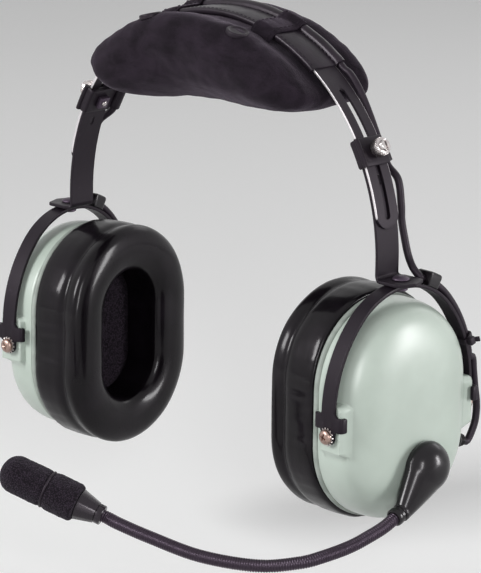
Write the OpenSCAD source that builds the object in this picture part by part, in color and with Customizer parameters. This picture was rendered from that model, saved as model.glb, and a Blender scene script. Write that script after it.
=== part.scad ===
// Aviation headset: spring head band, two swivelling ear cups and a boom microphone.
// +X is the wearer's left, -Y is the front, +Z is up. The origin lies midway between
// the two ear seals, at the height of the cup pivots. Millimetres.

/* [Head band] */
// Inner radius of the spring band, which is one arc about the arch centre
band_r = 101.3; // [90:0.1:125]
// Thickness of the spring band
band_t = 1.2; // [0.8:0.1:1.5]
// Width of the spring band
band_w = 14.5; // [12:0.1:18]
// Height of the band's round tips above the arch centre
band_tip_up = 15; // [12:0.5:20]
// Width of the adjusting slots in the band
slot_w = 3.2; // [3.1:0.1:4]
// Half angle of the vinyl sleeve that covers the top of the band
sleeve_half = 36; // [30:1:40]
// Wall of the vinyl sleeve
sleeve_wall = 1; // [0.6:0.1:1.4]

/* [Head pad] */
// Half width of the pad, front to back
pad_half = 35; // [28:1:42]
// Thickness of the pad at its middle
pad_thick = 36; // [24:1:40]
// Half angle of the arch that the pad fills
pad_span = 45; // [40:1:48]
// Height of the two long rolls beside the sleeve
pad_roll = 4; // [1:0.1:5]
// Angle of the two fabric keepers from the crown
keeper_at = 17.5; // [14:0.5:22]
// Length of a keeper along the band
keeper_len = 13; // [8:1:18]
// Outer diameter of a snap cap
snap_d = 11; // [8:0.5:13]

/* [Slide arms] */
// Thickness of a slide arm
arm_t = 1.5; // [1.2:0.1:2]
// Straight drop of a slide arm below the arch centre
arm_drop = 8.5; // [5:0.5:14]
// Running gap between a slide arm and the band
arm_gap = 0.1; // [0.05:0.05:0.2]
// Width of the foot plate at the bottom of an arm
foot_w = 18; // [17:0.5:22]
// Distance from the arm's outer face to the swivel rivet
rivet_out = 7.8; // [7:0.1:9]
// Diameter of the swivel rivet's shank
rivet_d = 4; // [3:0.1:4.5]

/* [Band clamps] */
// Height of the clamp's middle above the arch centre
clamp_up = 49; // [44:0.5:55]
// Length of the clamp along the band
clamp_len = 13.5; // [11:0.5:15]
// Wall of the clamp
clamp_wall = 1.2; // [1:0.1:1.5]
// Diameter of the clamp screw's shank
clamp_screw_d = 2.9; // [2:0.1:3]
// Diameter of the clamp screw's knurled head
knob_d = 8.6; // [7:0.1:10]

/* [Stirrups] */
// Height of the stirrup's crown, at mid thickness, above the pivots
stirrup_top = 62.5; // [61:0.5:76]
// Distance from the cup's middle to the middle of a stirrup leg
stirrup_half = 43.2; // [42:0.1:48]
// Radius of the stirrup's sides
stirrup_side_r = 60; // [56:1:72]
// Thickness of the stirrup strap
stirrup_t = 1.7; // [1.3:0.1:2]
// Width of the stirrup strap
stirrup_w = 8; // [7:0.1:9]
// Angle by which the front edges of the cups toe in
toe_in = 4; // [0:0.1:8]

/* [Ear seals] */
// Distance from the pivot plane inwards to the face of the ear seal
seal_reach = 44.2; // [43:0.1:48]
// Depth of the ear seal
seal_depth = 30; // [26:0.5:31]
// Width of the ear seal, front to back
seal_w = 82.4; // [76:0.1:88]
// Height of the ear seal
seal_h = 109.2; // [104:0.1:118]
// Width of the seal's opening
opening_w = 38.4; // [30:0.1:42]
// Height of the cup's middle above the pivots
cup_up = 4.2; // [2:0.1:5]

/* [Domes] */
// Width of the dome, front to back
dome_w = 78.8; // [72:0.1:80]
// Height of the dome
dome_h = 102.8; // [98:0.1:108]
// Depth of the dome
dome_depth = 24.2; // [23:0.1:28]
// Wall of the dome
dome_wall = 2.4; // [2:0.1:3]
// Exponent of the dome's rounded profile
dome_round = 3.5; // [2.6:0.1:4.2]
// Thickness of the seal plate's rim
plate_t = 3.2; // [2.5:0.1:4]
// Width of the raised pivot pads
pivot_pad_w = 13; // [11:0.1:13.2]

/* [Boom] */
// Diameter of the ribbed gooseneck
boom_d = 6; // [5:0.1:6.2]
// Number of ribs on the gooseneck
rib_count = 110; // [40:1:120]
// Diameter of the boot at the dome
boot_d = 25; // [22:0.5:27]
// Diameter of the foam windscreen
windscreen_d = 17.4; // [16:0.1:20]
// Length of the foam windscreen
windscreen_len = 38.7; // [36:0.5:44]

/* [Crossover lead] */
// Diameter of the crossover lead
lead_d = 3.5; // [3:0.1:3.6]

/* [Hidden] */
$fn = 48;
eps = 0.01;
fit = 0.05;            // running clearance on a radius
seat = 0.02;           // clearance of a piece fixed in its seat, on a radius
skin = 0.3;            // gap between soft pieces and their neighbours
lap = 0.15;            // loose clearance round the band

// Head band, from the arch centre
band_out = band_r + band_t;
foot_z = stirrup_top + stirrup_t / 2 + lap;
foot_t = 1.6;
arch_z = foot_z + arm_drop;
tip_angle = asin(band_tip_up / band_out);
tip_round = band_w / 2 / band_out * 180 / PI;
slot_low = tip_angle + 3.4;
slot_high = 46;
lead_bore = lead_d / 2 + 0.1;
lead_y = band_w / 2 + lap + 0.6 + lead_bore;
bead_r = lead_bore + sleeve_wall + fit;
lead_r = band_r - sleeve_wall + bead_r;
sleeve_in = band_r - sleeve_wall;
sleeve_out = band_out + sleeve_wall;

// Slide arm and clamp
arm_out = band_r - arm_gap;
arm_in = arm_out - arm_t;
yoke_x = arm_out + rivet_out;
clamp_angle = asin(clamp_up / band_out);
clamp_half = clamp_len / 2 / band_out * 180 / PI;
clamp_top = band_out + 2 * lap;
clamp_nut_t = 2.2;
clamp_nut_w = 6;
loop_bore = lead_d / 2 + 0.35;
loop_y = band_w / 2 + lap + clamp_wall + loop_bore + 0.2;
loop_r = arm_in - 1.1;
knob_neck = 1.5;
knob_h = 4.6;
knob_boss = 1.6;
stop_slot = 5;
rivet_head_d = 8;
rivet_head = 1.8;

// Stirrup: two side arcs and a crown arc that meet on common tangents
side_c = stirrup_side_r - stirrup_half;
side_up = 0.875 * stirrup_side_r;
leg_up = stirrup_top - side_up;
crown_r = (pow(stirrup_side_r, 2) - pow(side_c, 2) - pow(side_up, 2)) / (2 * (stirrup_side_r - side_up));
crown_z = stirrup_top - crown_r;
join_angle = atan((crown_z - leg_up) / side_c);
tab_z = 2.8;
tab_h = 6.8;
tab_t = 1.5;
tab_half = pivot_pad_w / 2 + 0.75 + tab_t;
tab_deep = 4;
tab_short = 2.8;
pivot_d = 4;

// Ear cup, from the pivot: X runs outwards
seal_face = -seal_reach;
plate_x = seal_face + seal_depth + 0.1;
dome_x = plate_x + plate_t + 0.1;
seal_l = (seal_h - seal_w) / 2;
dome_l = (dome_h - dome_w) / 2;
dome_r = dome_w / 2;
inner_r = dome_r - dome_wall;
inner_depth = dome_depth - dome_wall;
pivot_face = stirrup_half - stirrup_t / 2 - 0.25;
pivot_pad_in = inner_r - 3;
washer_t = 0.5;
washer_y = stirrup_half + stirrup_t / 2 + fit;
head_y = washer_y + washer_t + fit;
head_d = 6.8;
head_t = 2.2;
thread_d = 3;
plate_r = dome_r + 0.6;
plate_l = dome_l + 0.4;
spigot_r = inner_r - 0.15;
spigot_wall = 2;
spigot_h = 2.4;
vent_r = opening_w / 2 - 2;
liner_r = opening_w / 2 - skin;
liner_t = 10;
baffle_t = 2.4;
baffle_x = dome_x + 0.1;
speaker_d = 35.6;
speaker_x = baffle_x + baffle_t;

// Crossover lead on the stirrup
clip_base = 0.8;
lead_off = stirrup_t / 2 + 0.1 + clip_base + lead_d / 2 + 0.1;
clip_top = 7.6;
clip_from = 20;
clip_to = 30;
lead_from = 19.7;
tie_angle = 20;
tie_half = 1.4;
lead_to = 13;
tie_t = 0.9;
grommet_angle = -14;
grommet_x = -0.5;
grommet_d = 5;

// Boom, in the left cup's frame
boom_y = 3;
boom_z = -19.6;
boom_x = dome_x + dome_depth + 0.1;
base_t = 1.3;
stud_d = 5;
boot_x = boom_x + base_t + 0.15;
boot_h = 10.4;
collar_at = [18.6, -14.2, -36.7];
collar_dir = [0.04, -0.94, -0.33];
collar_len = 6;
mic_at = [-73.6, -115.7, -39.2];
mic_dir = [-0.79, -0.507, 0.353];
housing_d = 12;
housing_len = 28;
ring_at = 25;

// Points of the loose routes, chosen by hand. A drop's upper points are (radius beyond the
// band's inner one, y, angle from the horizontal) on the arch, and its lower points are
// offsets from the arm's outer face and the foot plate. The rest is in the left cup's frame.
left_arch = [[2.7, 10, 50], [1.7, 10.3, 45.5], [-0.6, 10.7, 39.6]];
left_hang = [[1.5, 10.7, 20.2], [0.4, 10.7, 14], [-0.7, 10.8, 9.8]];
left_foot = [[-0.5, 11.6, 16.6], [0.8, 12, 11.2], [2.8, 11.8, 7.2], [5.6, 11.4, 4]];
right_arch = [[2.7, 10, 50], [1.7, 10.3, 45.5], [-0.6, 10.7, 39.6]];
right_hang = [[3.2, 10.4, 19], [5.4, 10, 13.4], [6.6, 9.8, 7.4]];
right_foot = [[7, 10, 12.6], [7.8, 10.6, 7.2]];
tail = [[0, 48.2, 20.6], [-0.1, 49.2, 14.4], [-0.2, 50.6, 6], [-0.3, 52, -0.8], [-0.4, 52.3, -6.6],
        [-0.5, 51.2, -12.6]];
boom_route = [[18.9, -25, -41.2], [18, -33.4, -44.1], [16.4, -44, -47.2], [13.9, -57, -49.4],
              [9.5, -68.2, -51.2], [-2, -83.2, -52.3], [-24.5, -97, -50.7], [-48.1, -106, -46.2],
              [-63.5, -111.3, -42.7]];

// Frames. side is 1 for the wearer's left and -1 for the right.
module on_side(side) { mirror([side < 0 ? 1 : 0, 0, 0]) children(); }

module on_cup(side) { on_side(side) translate([yoke_x, 0, 0]) rotate([0, 0, -toe_in]) children(); }

// A place on the arch: X points outwards, Z along the arch towards the crown
module on_arch(angle, r) {
    translate([0, 0, arch_z]) rotate([0, -angle, 0]) translate([r, 0, 0]) children();
}

// Turns +Z to a direction
module towards(d) { rotate([0, acos(d.z / norm(d)), atan2(d.y, d.x)]) children(); }

// Sweeps a (radius, y) outline along the arch, between two angles from the horizontal
module arch_sweep(from, to) {
    translate([0, 0, arch_z]) rotate([90, 0, 0]) rotate([0, 0, from])
        rotate_extrude(angle = to - from, $fn = 96) mirror([0, 1]) children();
}

// Sweeps a (radius, x) outline in the stirrup's plane, between two angles from the horizontal
module stirrup_sweep(from, to) {
    rotate([0, 90, 0]) rotate([0, 0, 90 + from]) rotate_extrude(angle = to - from) children();
}

// Turns a (radius, depth) outline round a stadium of half length l, with depth along X
module stadium_turn(points, l) {
    for (end = [-1, 1])
        translate([0, 0, end * l]) rotate([0, 90, 0]) rotate([0, 0, end * 90])
            rotate_extrude(angle = 180) polygon(points);
    translate([0, 0, -l]) linear_extrude(2 * l)
        for (half = [-1, 1]) polygon([for (p = points) [p[1], half * p[0]]]);
}

module stadium_plate(r, l, from, to) { stadium_turn([[0, from], [r, from], [r, to], [0, to]], l); }

module cup_centre() { translate([0, 0, cup_up]) children(); }

// Points of the dome's profile, from its rim to its crown
function dome_points(r, depth) =
    [for (a = [0 : 7.5 : 90]) [r * pow(cos(a), 2 / dome_round), dome_x + depth * pow(sin(a), 2 / dome_round)]];

// Tubes along a route: a smooth curve through the points, and rings square to it
function curve_point(p, q, r, s, t) =
    0.5 * (2 * q + (r - p) * t + (2 * p - 5 * q + 4 * r - s) * t * t + (3 * q - p - 3 * r + s) * t * t * t);

function curve(points, steps) = let (n = len(points))
    [for (i = [0 : n - 2], k = [0 : steps - 1])
        curve_point(i > 0 ? points[i - 1] : 2 * points[0] - points[1], points[i], points[i + 1],
                    i < n - 2 ? points[i + 2] : 2 * points[n - 1] - points[n - 2], k / steps),
     points[n - 1]];

function heading(path, i) = let (n = len(path), d = path[min(i + 1, n - 1)] - path[max(i - 1, 0)]) d / norm(d);

function ring(centre, ahead, up, r, sides) = let (a = cross(ahead, up), b = a / norm(a), c = cross(b, ahead))
    [for (j = [0 : sides - 1]) centre + r * (cos(360 * j / sides) * b + sin(360 * j / sides) * c)];

module skin_rings(rings) {
    n = len(rings);
    m = len(rings[0]);
    polyhedron(
        points = [for (r = rings) each r],
        faces = [[for (j = [0 : m - 1]) j],
                 for (i = [0 : n - 2], j = [0 : m - 1])
                     each [[i * m + j, (i + 1) * m + j, (i + 1) * m + (j + 1) % m],
                           [i * m + j, (i + 1) * m + (j + 1) % m, i * m + (j + 1) % m]],
                 [for (j = [m - 1 : -1 : 0]) (n - 1) * m + j]]);
}

module tube(points, r, up, steps, sides = 8) {
    path = curve(points, steps);
    skin_rings([for (i = [0 : len(path) - 1]) ring(path[i], heading(path, i), up, r, sides)]);
}

// Head band

module band_slot(side) {
    on_side(side) {
        arch_sweep(slot_low, slot_high) translate([band_r - 1, -slot_w / 2]) square([band_t + 2, slot_w]);
        for (a = [slot_low, slot_high])
            on_arch(a, band_r - 1) rotate([0, 90, 0]) cylinder(d = slot_w + 0.2, h = band_t + 2);
    }
}

// What rounds a tip: the corners outside a circle as wide as the band
module tip_corners(side) {
    on_side(side) on_arch(tip_angle + tip_round, band_r - 2) difference() {
        translate([0, -band_w, -band_w]) cube([band_t + 4, 2 * band_w, band_w - 0.8]);
        rotate([0, 90, 0]) cylinder(d = band_w + 0.2, h = 3 * (band_t + 4), center = true);
    }
}

module headband_spring() {
    color("#232225") difference() {
        arch_sweep(tip_angle - 1, 181 - tip_angle) translate([band_r, -band_w / 2]) square([band_t, band_w]);
        for (side = [-1, 1]) {
            band_slot(side);
            tip_corners(side);
        }
    }
}

// The sleeve is a flat tube round the band, with a bead behind it for the lead
module band_sleeve() {
    color("#1b1a1d") arch_sweep(90 - sleeve_half, 90 + sleeve_half) difference() {
        union() {
            translate([sleeve_in, -band_w / 2 - 1.5]) square([sleeve_out - sleeve_in, band_w + 3]);
            translate([lead_r, lead_y]) circle(bead_r);
        }
        translate([band_r - lap, -band_w / 2 - lap]) square([band_t + 2 * lap, band_w + 2 * lap]);
        translate([lead_r, lead_y]) circle(lead_bore);
    }
}

module lead_in_band() {
    color("#161517") arch_sweep(90 - sleeve_half, 90 + sleeve_half)
        translate([lead_r, lead_y]) circle(lead_d / 2);
}

// The pad fills the arch: its top follows the band, its bottom is nearly level, a long
// roll swells on each side of the sleeve, and its ends are drawn in
pad_top = sleeve_in - skin;
pad_flat = lead_y + bead_r + 3.2;
function pad_ends(a, sharp) = pow(max(0, 1 - pow(abs(a) / (pad_span + 1), sharp)), 0.5);
// The middle of the underside is exactly level, and it thins towards the ends from there
pad_level = 7;
function pad_middle(a) = pad_top - (pad_top - pad_thick) / cos(a);
function pad_depth(a) = pad_middle(min(abs(a), pad_level)) * pad_ends(a, 14)
    * (1 - 0.66 * pow(max(0, abs(a) - pad_level) / (pad_span - pad_level), 1.9));
function pad_row(a) =
    let (half = pad_flat + (pad_half - pad_flat) * pad_ends(a, 6),
         grow = half - pad_flat,
         depth = pad_depth(a),
         roll = pad_roll * pad_ends(a, 4),
         rows = [[pad_flat - 1, 0, 0], [pad_flat + 0.08 * grow, 0, 0.5], [pad_flat + 0.22 * grow, 0, 0.88],
                 [pad_flat + 0.42 * grow, 0, 1], [pad_flat + 0.64 * grow, 0.02, 0.8],
                 [pad_flat + 0.84 * grow, 0.1, 0.3], [pad_flat + 0.96 * grow, 0.26, 0],
                 [half, 0.45, 0], [half - 0.05 * grow, 0.66, 0], [half - 0.25 * grow, 0.83, 0],
                 [half - 0.6 * grow, 0.94, 0], [pad_flat * 0.5, 1, 0]])
    concat([for (p = rows) [p[0], pad_top + roll * p[2] - depth * p[1]]],
           [for (i = [len(rows) - 1 : -1 : 0]) let (p = rows[i]) [-p[0], pad_top + roll * p[2] - depth * p[1]]]);

module head_pad() {
    steps = 22;
    color("#201f22") translate([0, 0, arch_z]) skin_rings([
        for (i = [0 : steps]) let (a = pad_span * sin(90 * (2 * i / steps - 1)))
            [for (p = pad_row(a)) [p[1] * sin(a), p[0], p[1] * cos(a)]]]);
}

module keeper_outline(grow) {
    back = lead_y + bead_r + grow;
    front = -band_w / 2 - 1.5 - grow;
    polygon([[sleeve_in, front], [sleeve_out + grow, front], [sleeve_out + grow, lead_y - bead_r - 0.5],
             [lead_r + bead_r + grow, lead_y - bead_r * 0.55], [lead_r + bead_r + grow, lead_y + bead_r * 0.6],
             [lead_r + bead_r * 0.5 + grow, back], [sleeve_in, back]]);
}

module pad_keepers() {
    half = keeper_len / 2 / sleeve_out * 180 / PI;
    color("#232226") for (side = [-1, 1])
        arch_sweep(90 + side * keeper_at - half, 90 + side * keeper_at + half) difference() {
            keeper_outline(1.4);
            translate([-eps, 0]) keeper_outline(0.25);
        }
}

module pad_snaps() {
    snap_y = pad_flat + 0.42 * (pad_half - pad_flat) * 0.98;
    color("#2c2b2e") for (side = [-1, 1])
        on_arch(90 + side * 16, pad_top + pad_roll + 0.25) translate([0, -snap_y, 0]) rotate([0, 90, 0])
            rotate_extrude() difference() {
                translate([0, 0]) square([snap_d / 2, 1.3]);
                translate([0, 0.8]) square([snap_d / 2 - 1.2, 1]);
            }
}

// Slide arms and clamps

module slide_arm(side) {
    color("#232225") on_side(side) difference() {
        union() {
            arch_sweep(0, clamp_angle + clamp_half) translate([arm_in, -band_w / 2]) square([arm_t, band_w]);
            translate([arm_in, -band_w / 2, foot_z]) cube([arm_t, band_w, arm_drop]);
            translate([0, 0, foot_z]) linear_extrude(foot_t)
                polygon([[arm_in, -band_w / 2], [arm_out + 2, -foot_w / 2], [yoke_x + 6, -foot_w / 2],
                         [yoke_x + 9.5, 0], [yoke_x + 6, foot_w / 2], [arm_out + 2, foot_w / 2],
                         [arm_in, band_w / 2]]);
        }
        translate([yoke_x, 0, foot_z - 1]) cylinder(d = rivet_d + 2 * seat, h = foot_t + 2);
        on_arch(clamp_angle, arm_in - 1) rotate([0, 90, 0]) cylinder(d = clamp_screw_d + 2 * fit, h = arm_t + 2);
        stop_angle = clamp_angle - clamp_half - 3.5;
        arch_sweep(stop_angle - 1.2, stop_angle + 1.2) translate([arm_in - 1, -1]) square([arm_t + 2, 2]);
    }
}

// A folded box round both straps, with a loop behind it for the lead
module clamp_block(side) {
    half = band_w / 2 + lap;
    color("#1d1c1f") on_side(side) {
        difference() {
            arch_sweep(clamp_angle - clamp_half, clamp_angle + clamp_half) difference() {
                translate([arm_in - clamp_wall - fit, -half - clamp_wall])
                    square([clamp_top - arm_in + 2 * clamp_wall + fit, 2 * (half + clamp_wall)]);
                translate([arm_in - fit, -half]) square([clamp_top - arm_in + fit, 2 * half]);
            }
            on_arch(clamp_angle, arm_in - 5) rotate([0, 90, 0]) cylinder(d = clamp_screw_d + 2 * fit, h = 15);
        }
        on_arch(clamp_angle, loop_r) translate([0, loop_y, -clamp_len / 2 + 1.5]) difference() {
            union() {
                cylinder(r = loop_bore + 0.8, h = clamp_len - 3);
                translate([0, half + clamp_wall - loop_y - eps, 0])
                    cube([2, loop_y - loop_bore - half - clamp_wall, clamp_len - 3]);
            }
            translate([0, 0, -1]) cylinder(r = loop_bore, h = clamp_len);
        }
    }
}

module clamp_nut(side) {
    top = arm_in - clamp_wall - 3 * fit;
    color("#8d8a86") on_side(side) on_arch(clamp_angle, top - clamp_nut_t) difference() {
        translate([0, -clamp_nut_w / 2, -clamp_nut_w / 2]) cube([clamp_nut_t, clamp_nut_w, clamp_nut_w]);
        translate([-1, 0, 0]) rotate([0, 90, 0]) cylinder(d = clamp_screw_d + 2 * fit, h = clamp_nut_t + 2);
    }
}

module clamp_screw(side) {
    from = arm_in - clamp_wall - clamp_nut_t - 0.8;
    under = clamp_top + clamp_wall + 0.1;
    color("#b9b6b0") on_side(side) on_arch(clamp_angle, 0) rotate([0, 90, 0]) difference() {
        union() {
            translate([0, 0, from]) cylinder(d = clamp_screw_d, h = under - from + 1);
            translate([0, 0, under]) cylinder(d = 6, h = knob_neck);
            difference() {
                translate([0, 0, under + knob_neck]) cylinder(d = knob_d, h = knob_h);
                for (a = [0 : 30 : 330])
                    rotate([0, 0, a]) translate([knob_d / 2 + 0.3, 0, under + knob_neck - 1])
                        cylinder(r = 0.7, h = knob_h + 2, $fn = 16);
            }
            translate([0, 0, under + knob_neck + knob_h]) cylinder(d = knob_d * 0.64, h = knob_boss);
        }
        translate([-knob_d, -0.6, under + knob_neck + knob_h + knob_boss - 1.1]) cube([2 * knob_d, 1.2, 3]);
    }
}

module swivel_rivet(side) {
    low = stirrup_top - stirrup_t / 2 - 0.25;
    top = foot_z + foot_t + 0.1;
    color("#4a484c") on_side(side) translate([yoke_x, 0, 0]) {
        translate([0, 0, low - 1.2]) cylinder(d = 6.4, h = 1.2);
        translate([0, 0, low - eps]) cylinder(d = rivet_d, h = top - low + 2 * eps);
        translate([0, 0, top]) rotate_extrude() intersection() {
            square([rivet_head_d / 2, rivet_head]);
            translate([0, rivet_head - 5.3]) circle(5.3);
        }
    }
}

// Stirrups

// One side of the strap's outline, at an offset from its mid thickness, from tip to crown
function on_side_arc(offset, a) =
    [(stirrup_side_r + offset) * cos(a) - side_c, leg_up + (stirrup_side_r + offset) * sin(a)];
function on_crown_arc(offset, a) = [(crown_r + offset) * cos(a), crown_z + (crown_r + offset) * sin(a)];
function strap_side(offset) = concat(
    [[stirrup_half + offset, -stirrup_w]],
    [for (a = [0 : join_angle / 10 : join_angle - 0.1]) on_side_arc(offset, a)],
    [for (a = [join_angle : (90 - join_angle) / 22 : 90.1]) on_crown_arc(offset, a)]);

module strap() {
    outer = strap_side(stirrup_t / 2);
    inner = strap_side(-stirrup_t / 2);
    n = len(outer);
    rotate([90, 0, 90]) linear_extrude(stirrup_w, center = true) polygon(concat(
        outer, [for (i = [n - 2 : -1 : 0]) [-outer[i].x, outer[i].y]],
        [for (i = [0 : n - 1]) [-inner[i].x, inner[i].y]], [for (i = [n - 2 : -1 : 0]) inner[i]]));
}

module stirrup(side) {
    color("#242326") on_cup(side) difference() {
        union() {
            intersection() {
                strap();
                union() {
                    rotate([90, 0, 0]) cylinder(d = stirrup_w + 0.1, h = 4 * stirrup_half, center = true);
                    translate([-stirrup_w, -2 * stirrup_half, -0.6]) cube([2 * stirrup_w, 4 * stirrup_half, 2 * stirrup_top]);
                }
            }
            for (leg = [0, 1]) mirror([0, leg, 0]) {
                translate([-tab_half, stirrup_half - stirrup_t / 2, tab_z]) cube([2 * tab_half, stirrup_t, tab_h]);
                translate([tab_half - tab_t, stirrup_half + stirrup_t / 2 - tab_deep, tab_z])
                    cube([tab_t, tab_deep, tab_h]);
                translate([-tab_half, stirrup_half + stirrup_t / 2 - tab_short, tab_z])
                    cube([tab_t, tab_short, tab_h]);
            }
        }
        rotate([90, 0, 0]) cylinder(d = pivot_d + 2 * fit, h = 4 * stirrup_half, center = true);
        translate([0, 0, stirrup_top - 4]) cylinder(d = rivet_d + 2 * fit, h = 8);
    }
}

module lead_clip(side) {
    low = crown_r + stirrup_t / 2 + 0.1;
    top = crown_r + clip_top;
    color("#19181a") on_cup(side) translate([0, 0, crown_z]) stirrup_sweep(90 - clip_to, 90 - clip_from)
        difference() {
            polygon([[low, -4.6], [top - 1, -4.6], [top, -3.6], [top, 3.6], [top - 1, 4.6], [low, 4.6]]);
            translate([crown_r + lead_off, 0]) circle(lead_d / 2 + 0.1);
        }
}

// A cable tie round the strap and the lead, with its lock on the outer side
module lead_tie(side) {
    low = stirrup_side_r - stirrup_t / 2 - 0.1;
    mid = stirrup_side_r + stirrup_t / 2;
    top = stirrup_side_r + lead_off + lead_d / 2 + 0.1;
    half = stirrup_w / 2 + 0.1;
    color("#19181a") on_cup(side) translate([0, -side_c, leg_up])
        stirrup_sweep(tie_angle - tie_half, tie_angle + tie_half) difference() {
            polygon([[low - tie_t, -half - tie_t], [low - tie_t, half + tie_t], [mid - 1, half + tie_t],
                     [mid - 1, half + 3], [mid + 2, half + 3], [mid + 2, half + tie_t - 0.4],
                     [top + tie_t, 2.2], [top + tie_t, -2.2], [mid + 0.8, -half - tie_t]]);
            polygon([[low, -half], [low, half], [mid + 0.1, half], [top, 1.6], [top, -1.6],
                     [mid + 0.1, -half]]);
        }
}

function at_yz(p) = [0, p.x, p.y];

function run_angle(from, to, i, n) = from + (to - from) * i / n;

module lead_run(side) {
    path = concat(
        [for (i = [0 : 6]) at_yz(on_crown_arc(lead_off, run_angle(90 - lead_from, join_angle, i, 6)))],
        [for (i = [1 : 5]) at_yz(on_side_arc(lead_off, run_angle(join_angle, lead_to, i, 5)))]);
    color("#161517") on_cup(side) skin_rings([for (i = [0 : len(path) - 1])
        ring(path[i], heading(path, i), [1, 0, 0], lead_d / 2, 8)]);
}

// The drop hangs between the end of the sleeve and the clip on the stirrup, through the
// loop on the clamp
function arch_point(r, y, a) = [r * cos(a), y, arch_z + r * sin(a)];

module lead_drop(side, arch, hang, foot) {
    start = 90 - sleeve_half - 0.1;
    loop = [for (t = [0.52, 0, -0.52])
        arch_point(loop_r, loop_y, clamp_angle) + t * clamp_len * [-sin(clamp_angle), 0, cos(clamp_angle)]];
    clip_end = [for (a = [lead_from - 2, lead_from - 0.8])
        let (y = (crown_r + lead_off) * sin(a))
        [yoke_x + y * sin(toe_in), y * cos(toe_in), crown_z + (crown_r + lead_off) * cos(a)]];
    color("#161517") on_side(side) tube(concat(
        [for (a = [start, start - 1.8]) arch_point(lead_r, lead_y, a)],
        [for (p = arch) arch_point(band_r + p.x, p.y, p.z)],
        loop,
        [for (p = hang) arch_point(band_r + p.x, p.y, p.z)],
        [for (p = foot) [arm_out + p.x, p.y, foot_z + p.z]],
        clip_end), lead_d / 2, [1, 0.3, 0], 1);
}

module lead_tail(side) {
    start = [for (a = [lead_to - 0.4, lead_to - 2.5]) at_yz(on_side_arc(lead_off, a))];
    end = [for (r = [dome_r + 9, dome_r + 5.4])
        [grommet_x, r * cos(grommet_angle), cup_up - dome_l + r * sin(grommet_angle)]];
    color("#161517") on_cup(side) tube(concat(start, tail, end), lead_d / 2, [1, 0.1, 0], 1);
}

// Ear cups

module seal_outline_turn() {
    r = seal_w / 2;
    bore = opening_w / 2;
    mid = (r + bore) / 2;
    crown = 5.7;
    base = seal_depth;
    stadium_turn([
        for (a = [0 : 15 : 180]) [mid + (r - bore) / 2 * cos(a), seal_face + crown * (1 - sin(a))],
        [bore, seal_face + base - 3.5], [bore + 1.8, seal_face + base], [r - 1, seal_face + base],
        [r - 0.3, seal_face + 0.9 * base], [r, seal_face + 0.74 * base], [r, seal_face + 0.52 * base],
        [r - 0.6, seal_face + 0.43 * base], [r - 1.7, seal_face + 0.375 * base],
        [r - 0.6, seal_face + 0.32 * base]], seal_l);
}

module ear_seal(side) { color("#121214") on_cup(side) cup_centre() seal_outline_turn(); }

module foam_liner(side) {
    back = plate_x - 0.1;
    front = back - liner_t;
    color("#2a292c") on_cup(side) cup_centre()
        stadium_turn([[0, front - 1.5], [liner_r * 0.6, front - 1.2], [liner_r * 0.9, front],
                      [liner_r, front + 1.5], [liner_r, back - 4], [liner_r - 1, back], [0, back]], seal_l);
}

module seal_plate(side) {
    color("#1c1b1e") on_cup(side) cup_centre() difference() {
        union() {
            stadium_plate(plate_r, plate_l, plate_x, plate_x + plate_t);
            difference() {
                stadium_plate(spigot_r, dome_l, plate_x + plate_t - eps, dome_x + spigot_h);
                stadium_plate(spigot_r - spigot_wall, dome_l, plate_x + plate_t - 1, dome_x + spigot_h + 1);
            }
        }
        stadium_plate(vent_r, seal_l, plate_x - 1, plate_x + plate_t + 1);
    }
}

// The raised pads are the flats on which the stirrup's legs turn
module pivot_pads(shrink, from, to) {
    w = pivot_pad_w - 2 * shrink;
    low = -10 + shrink;
    high = 14.3 - shrink;
    r = 3;
    for (leg = [0, 1])
        mirror([0, leg, 0]) translate([0, to, 0]) rotate([90, 0, 0]) linear_extrude(to - from) {
            translate([-w / 2 + r, low]) square([w - 2 * r, high - low]);
            translate([-w / 2, low + r]) square([w, high - low - 2 * r]);
            for (i = [-w / 2 + r, w / 2 - r], j = [low + r, high - r]) translate([i, j]) circle(r);
        }
}

module dome_shell() {
    outer = dome_points(dome_r, dome_depth);
    inner = dome_points(inner_r, inner_depth);
    difference() {
        stadium_turn(concat([[0, dome_x]], outer), dome_l);
        stadium_turn(concat([[0, dome_x - 1], [inner_r, dome_x - 1]], inner), dome_l);
    }
}

module on_grommet() {
    translate([grommet_x, 0, cup_up - dome_l]) rotate([grommet_angle, 0, 0]) rotate([-90, 0, 0]) children();
}

module on_boom() { translate([0, boom_y, boom_z]) rotate([0, 90, 0]) children(); }

module dome(side) {
    color("#b4c5b5") on_cup(side) difference() {
        union() {
            cup_centre() dome_shell();
            pivot_pads(0, pivot_pad_in, pivot_face);
        }
        rotate([90, 0, 0]) cylinder(d = thread_d + 2 * seat, h = 4 * dome_r, center = true);
        on_grommet() translate([0, 0, dome_r - 6]) cylinder(d = grommet_d + 2 * seat, h = 12);
        if (side > 0) on_boom() translate([0, 0, dome_x + dome_depth - 8]) cylinder(d = stud_d + 2 * fit, h = 10);
    }
}

module pivot_screws(side) {
    tip = pivot_pad_in + 0.4;
    color("#a5796a") on_cup(side) for (leg = [0, 1]) mirror([0, leg, 0]) rotate([-90, 0, 0]) difference() {
        union() {
            translate([0, 0, tip]) cylinder(d = thread_d, h = head_y - tip);
            translate([0, 0, pivot_face + seat]) cylinder(d = pivot_d, h = head_y - pivot_face);
            translate([0, 0, head_y]) rotate_extrude() intersection() {
                square([head_d / 2, head_t]);
                translate([0, head_t - 4.2]) circle(4.2);
            }
        }
        for (a = [0, 90]) rotate([0, 0, a]) translate([-1.9, -0.4, head_y + head_t - 1.1]) cube([3.8, 0.8, 2]);
    }
}

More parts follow.
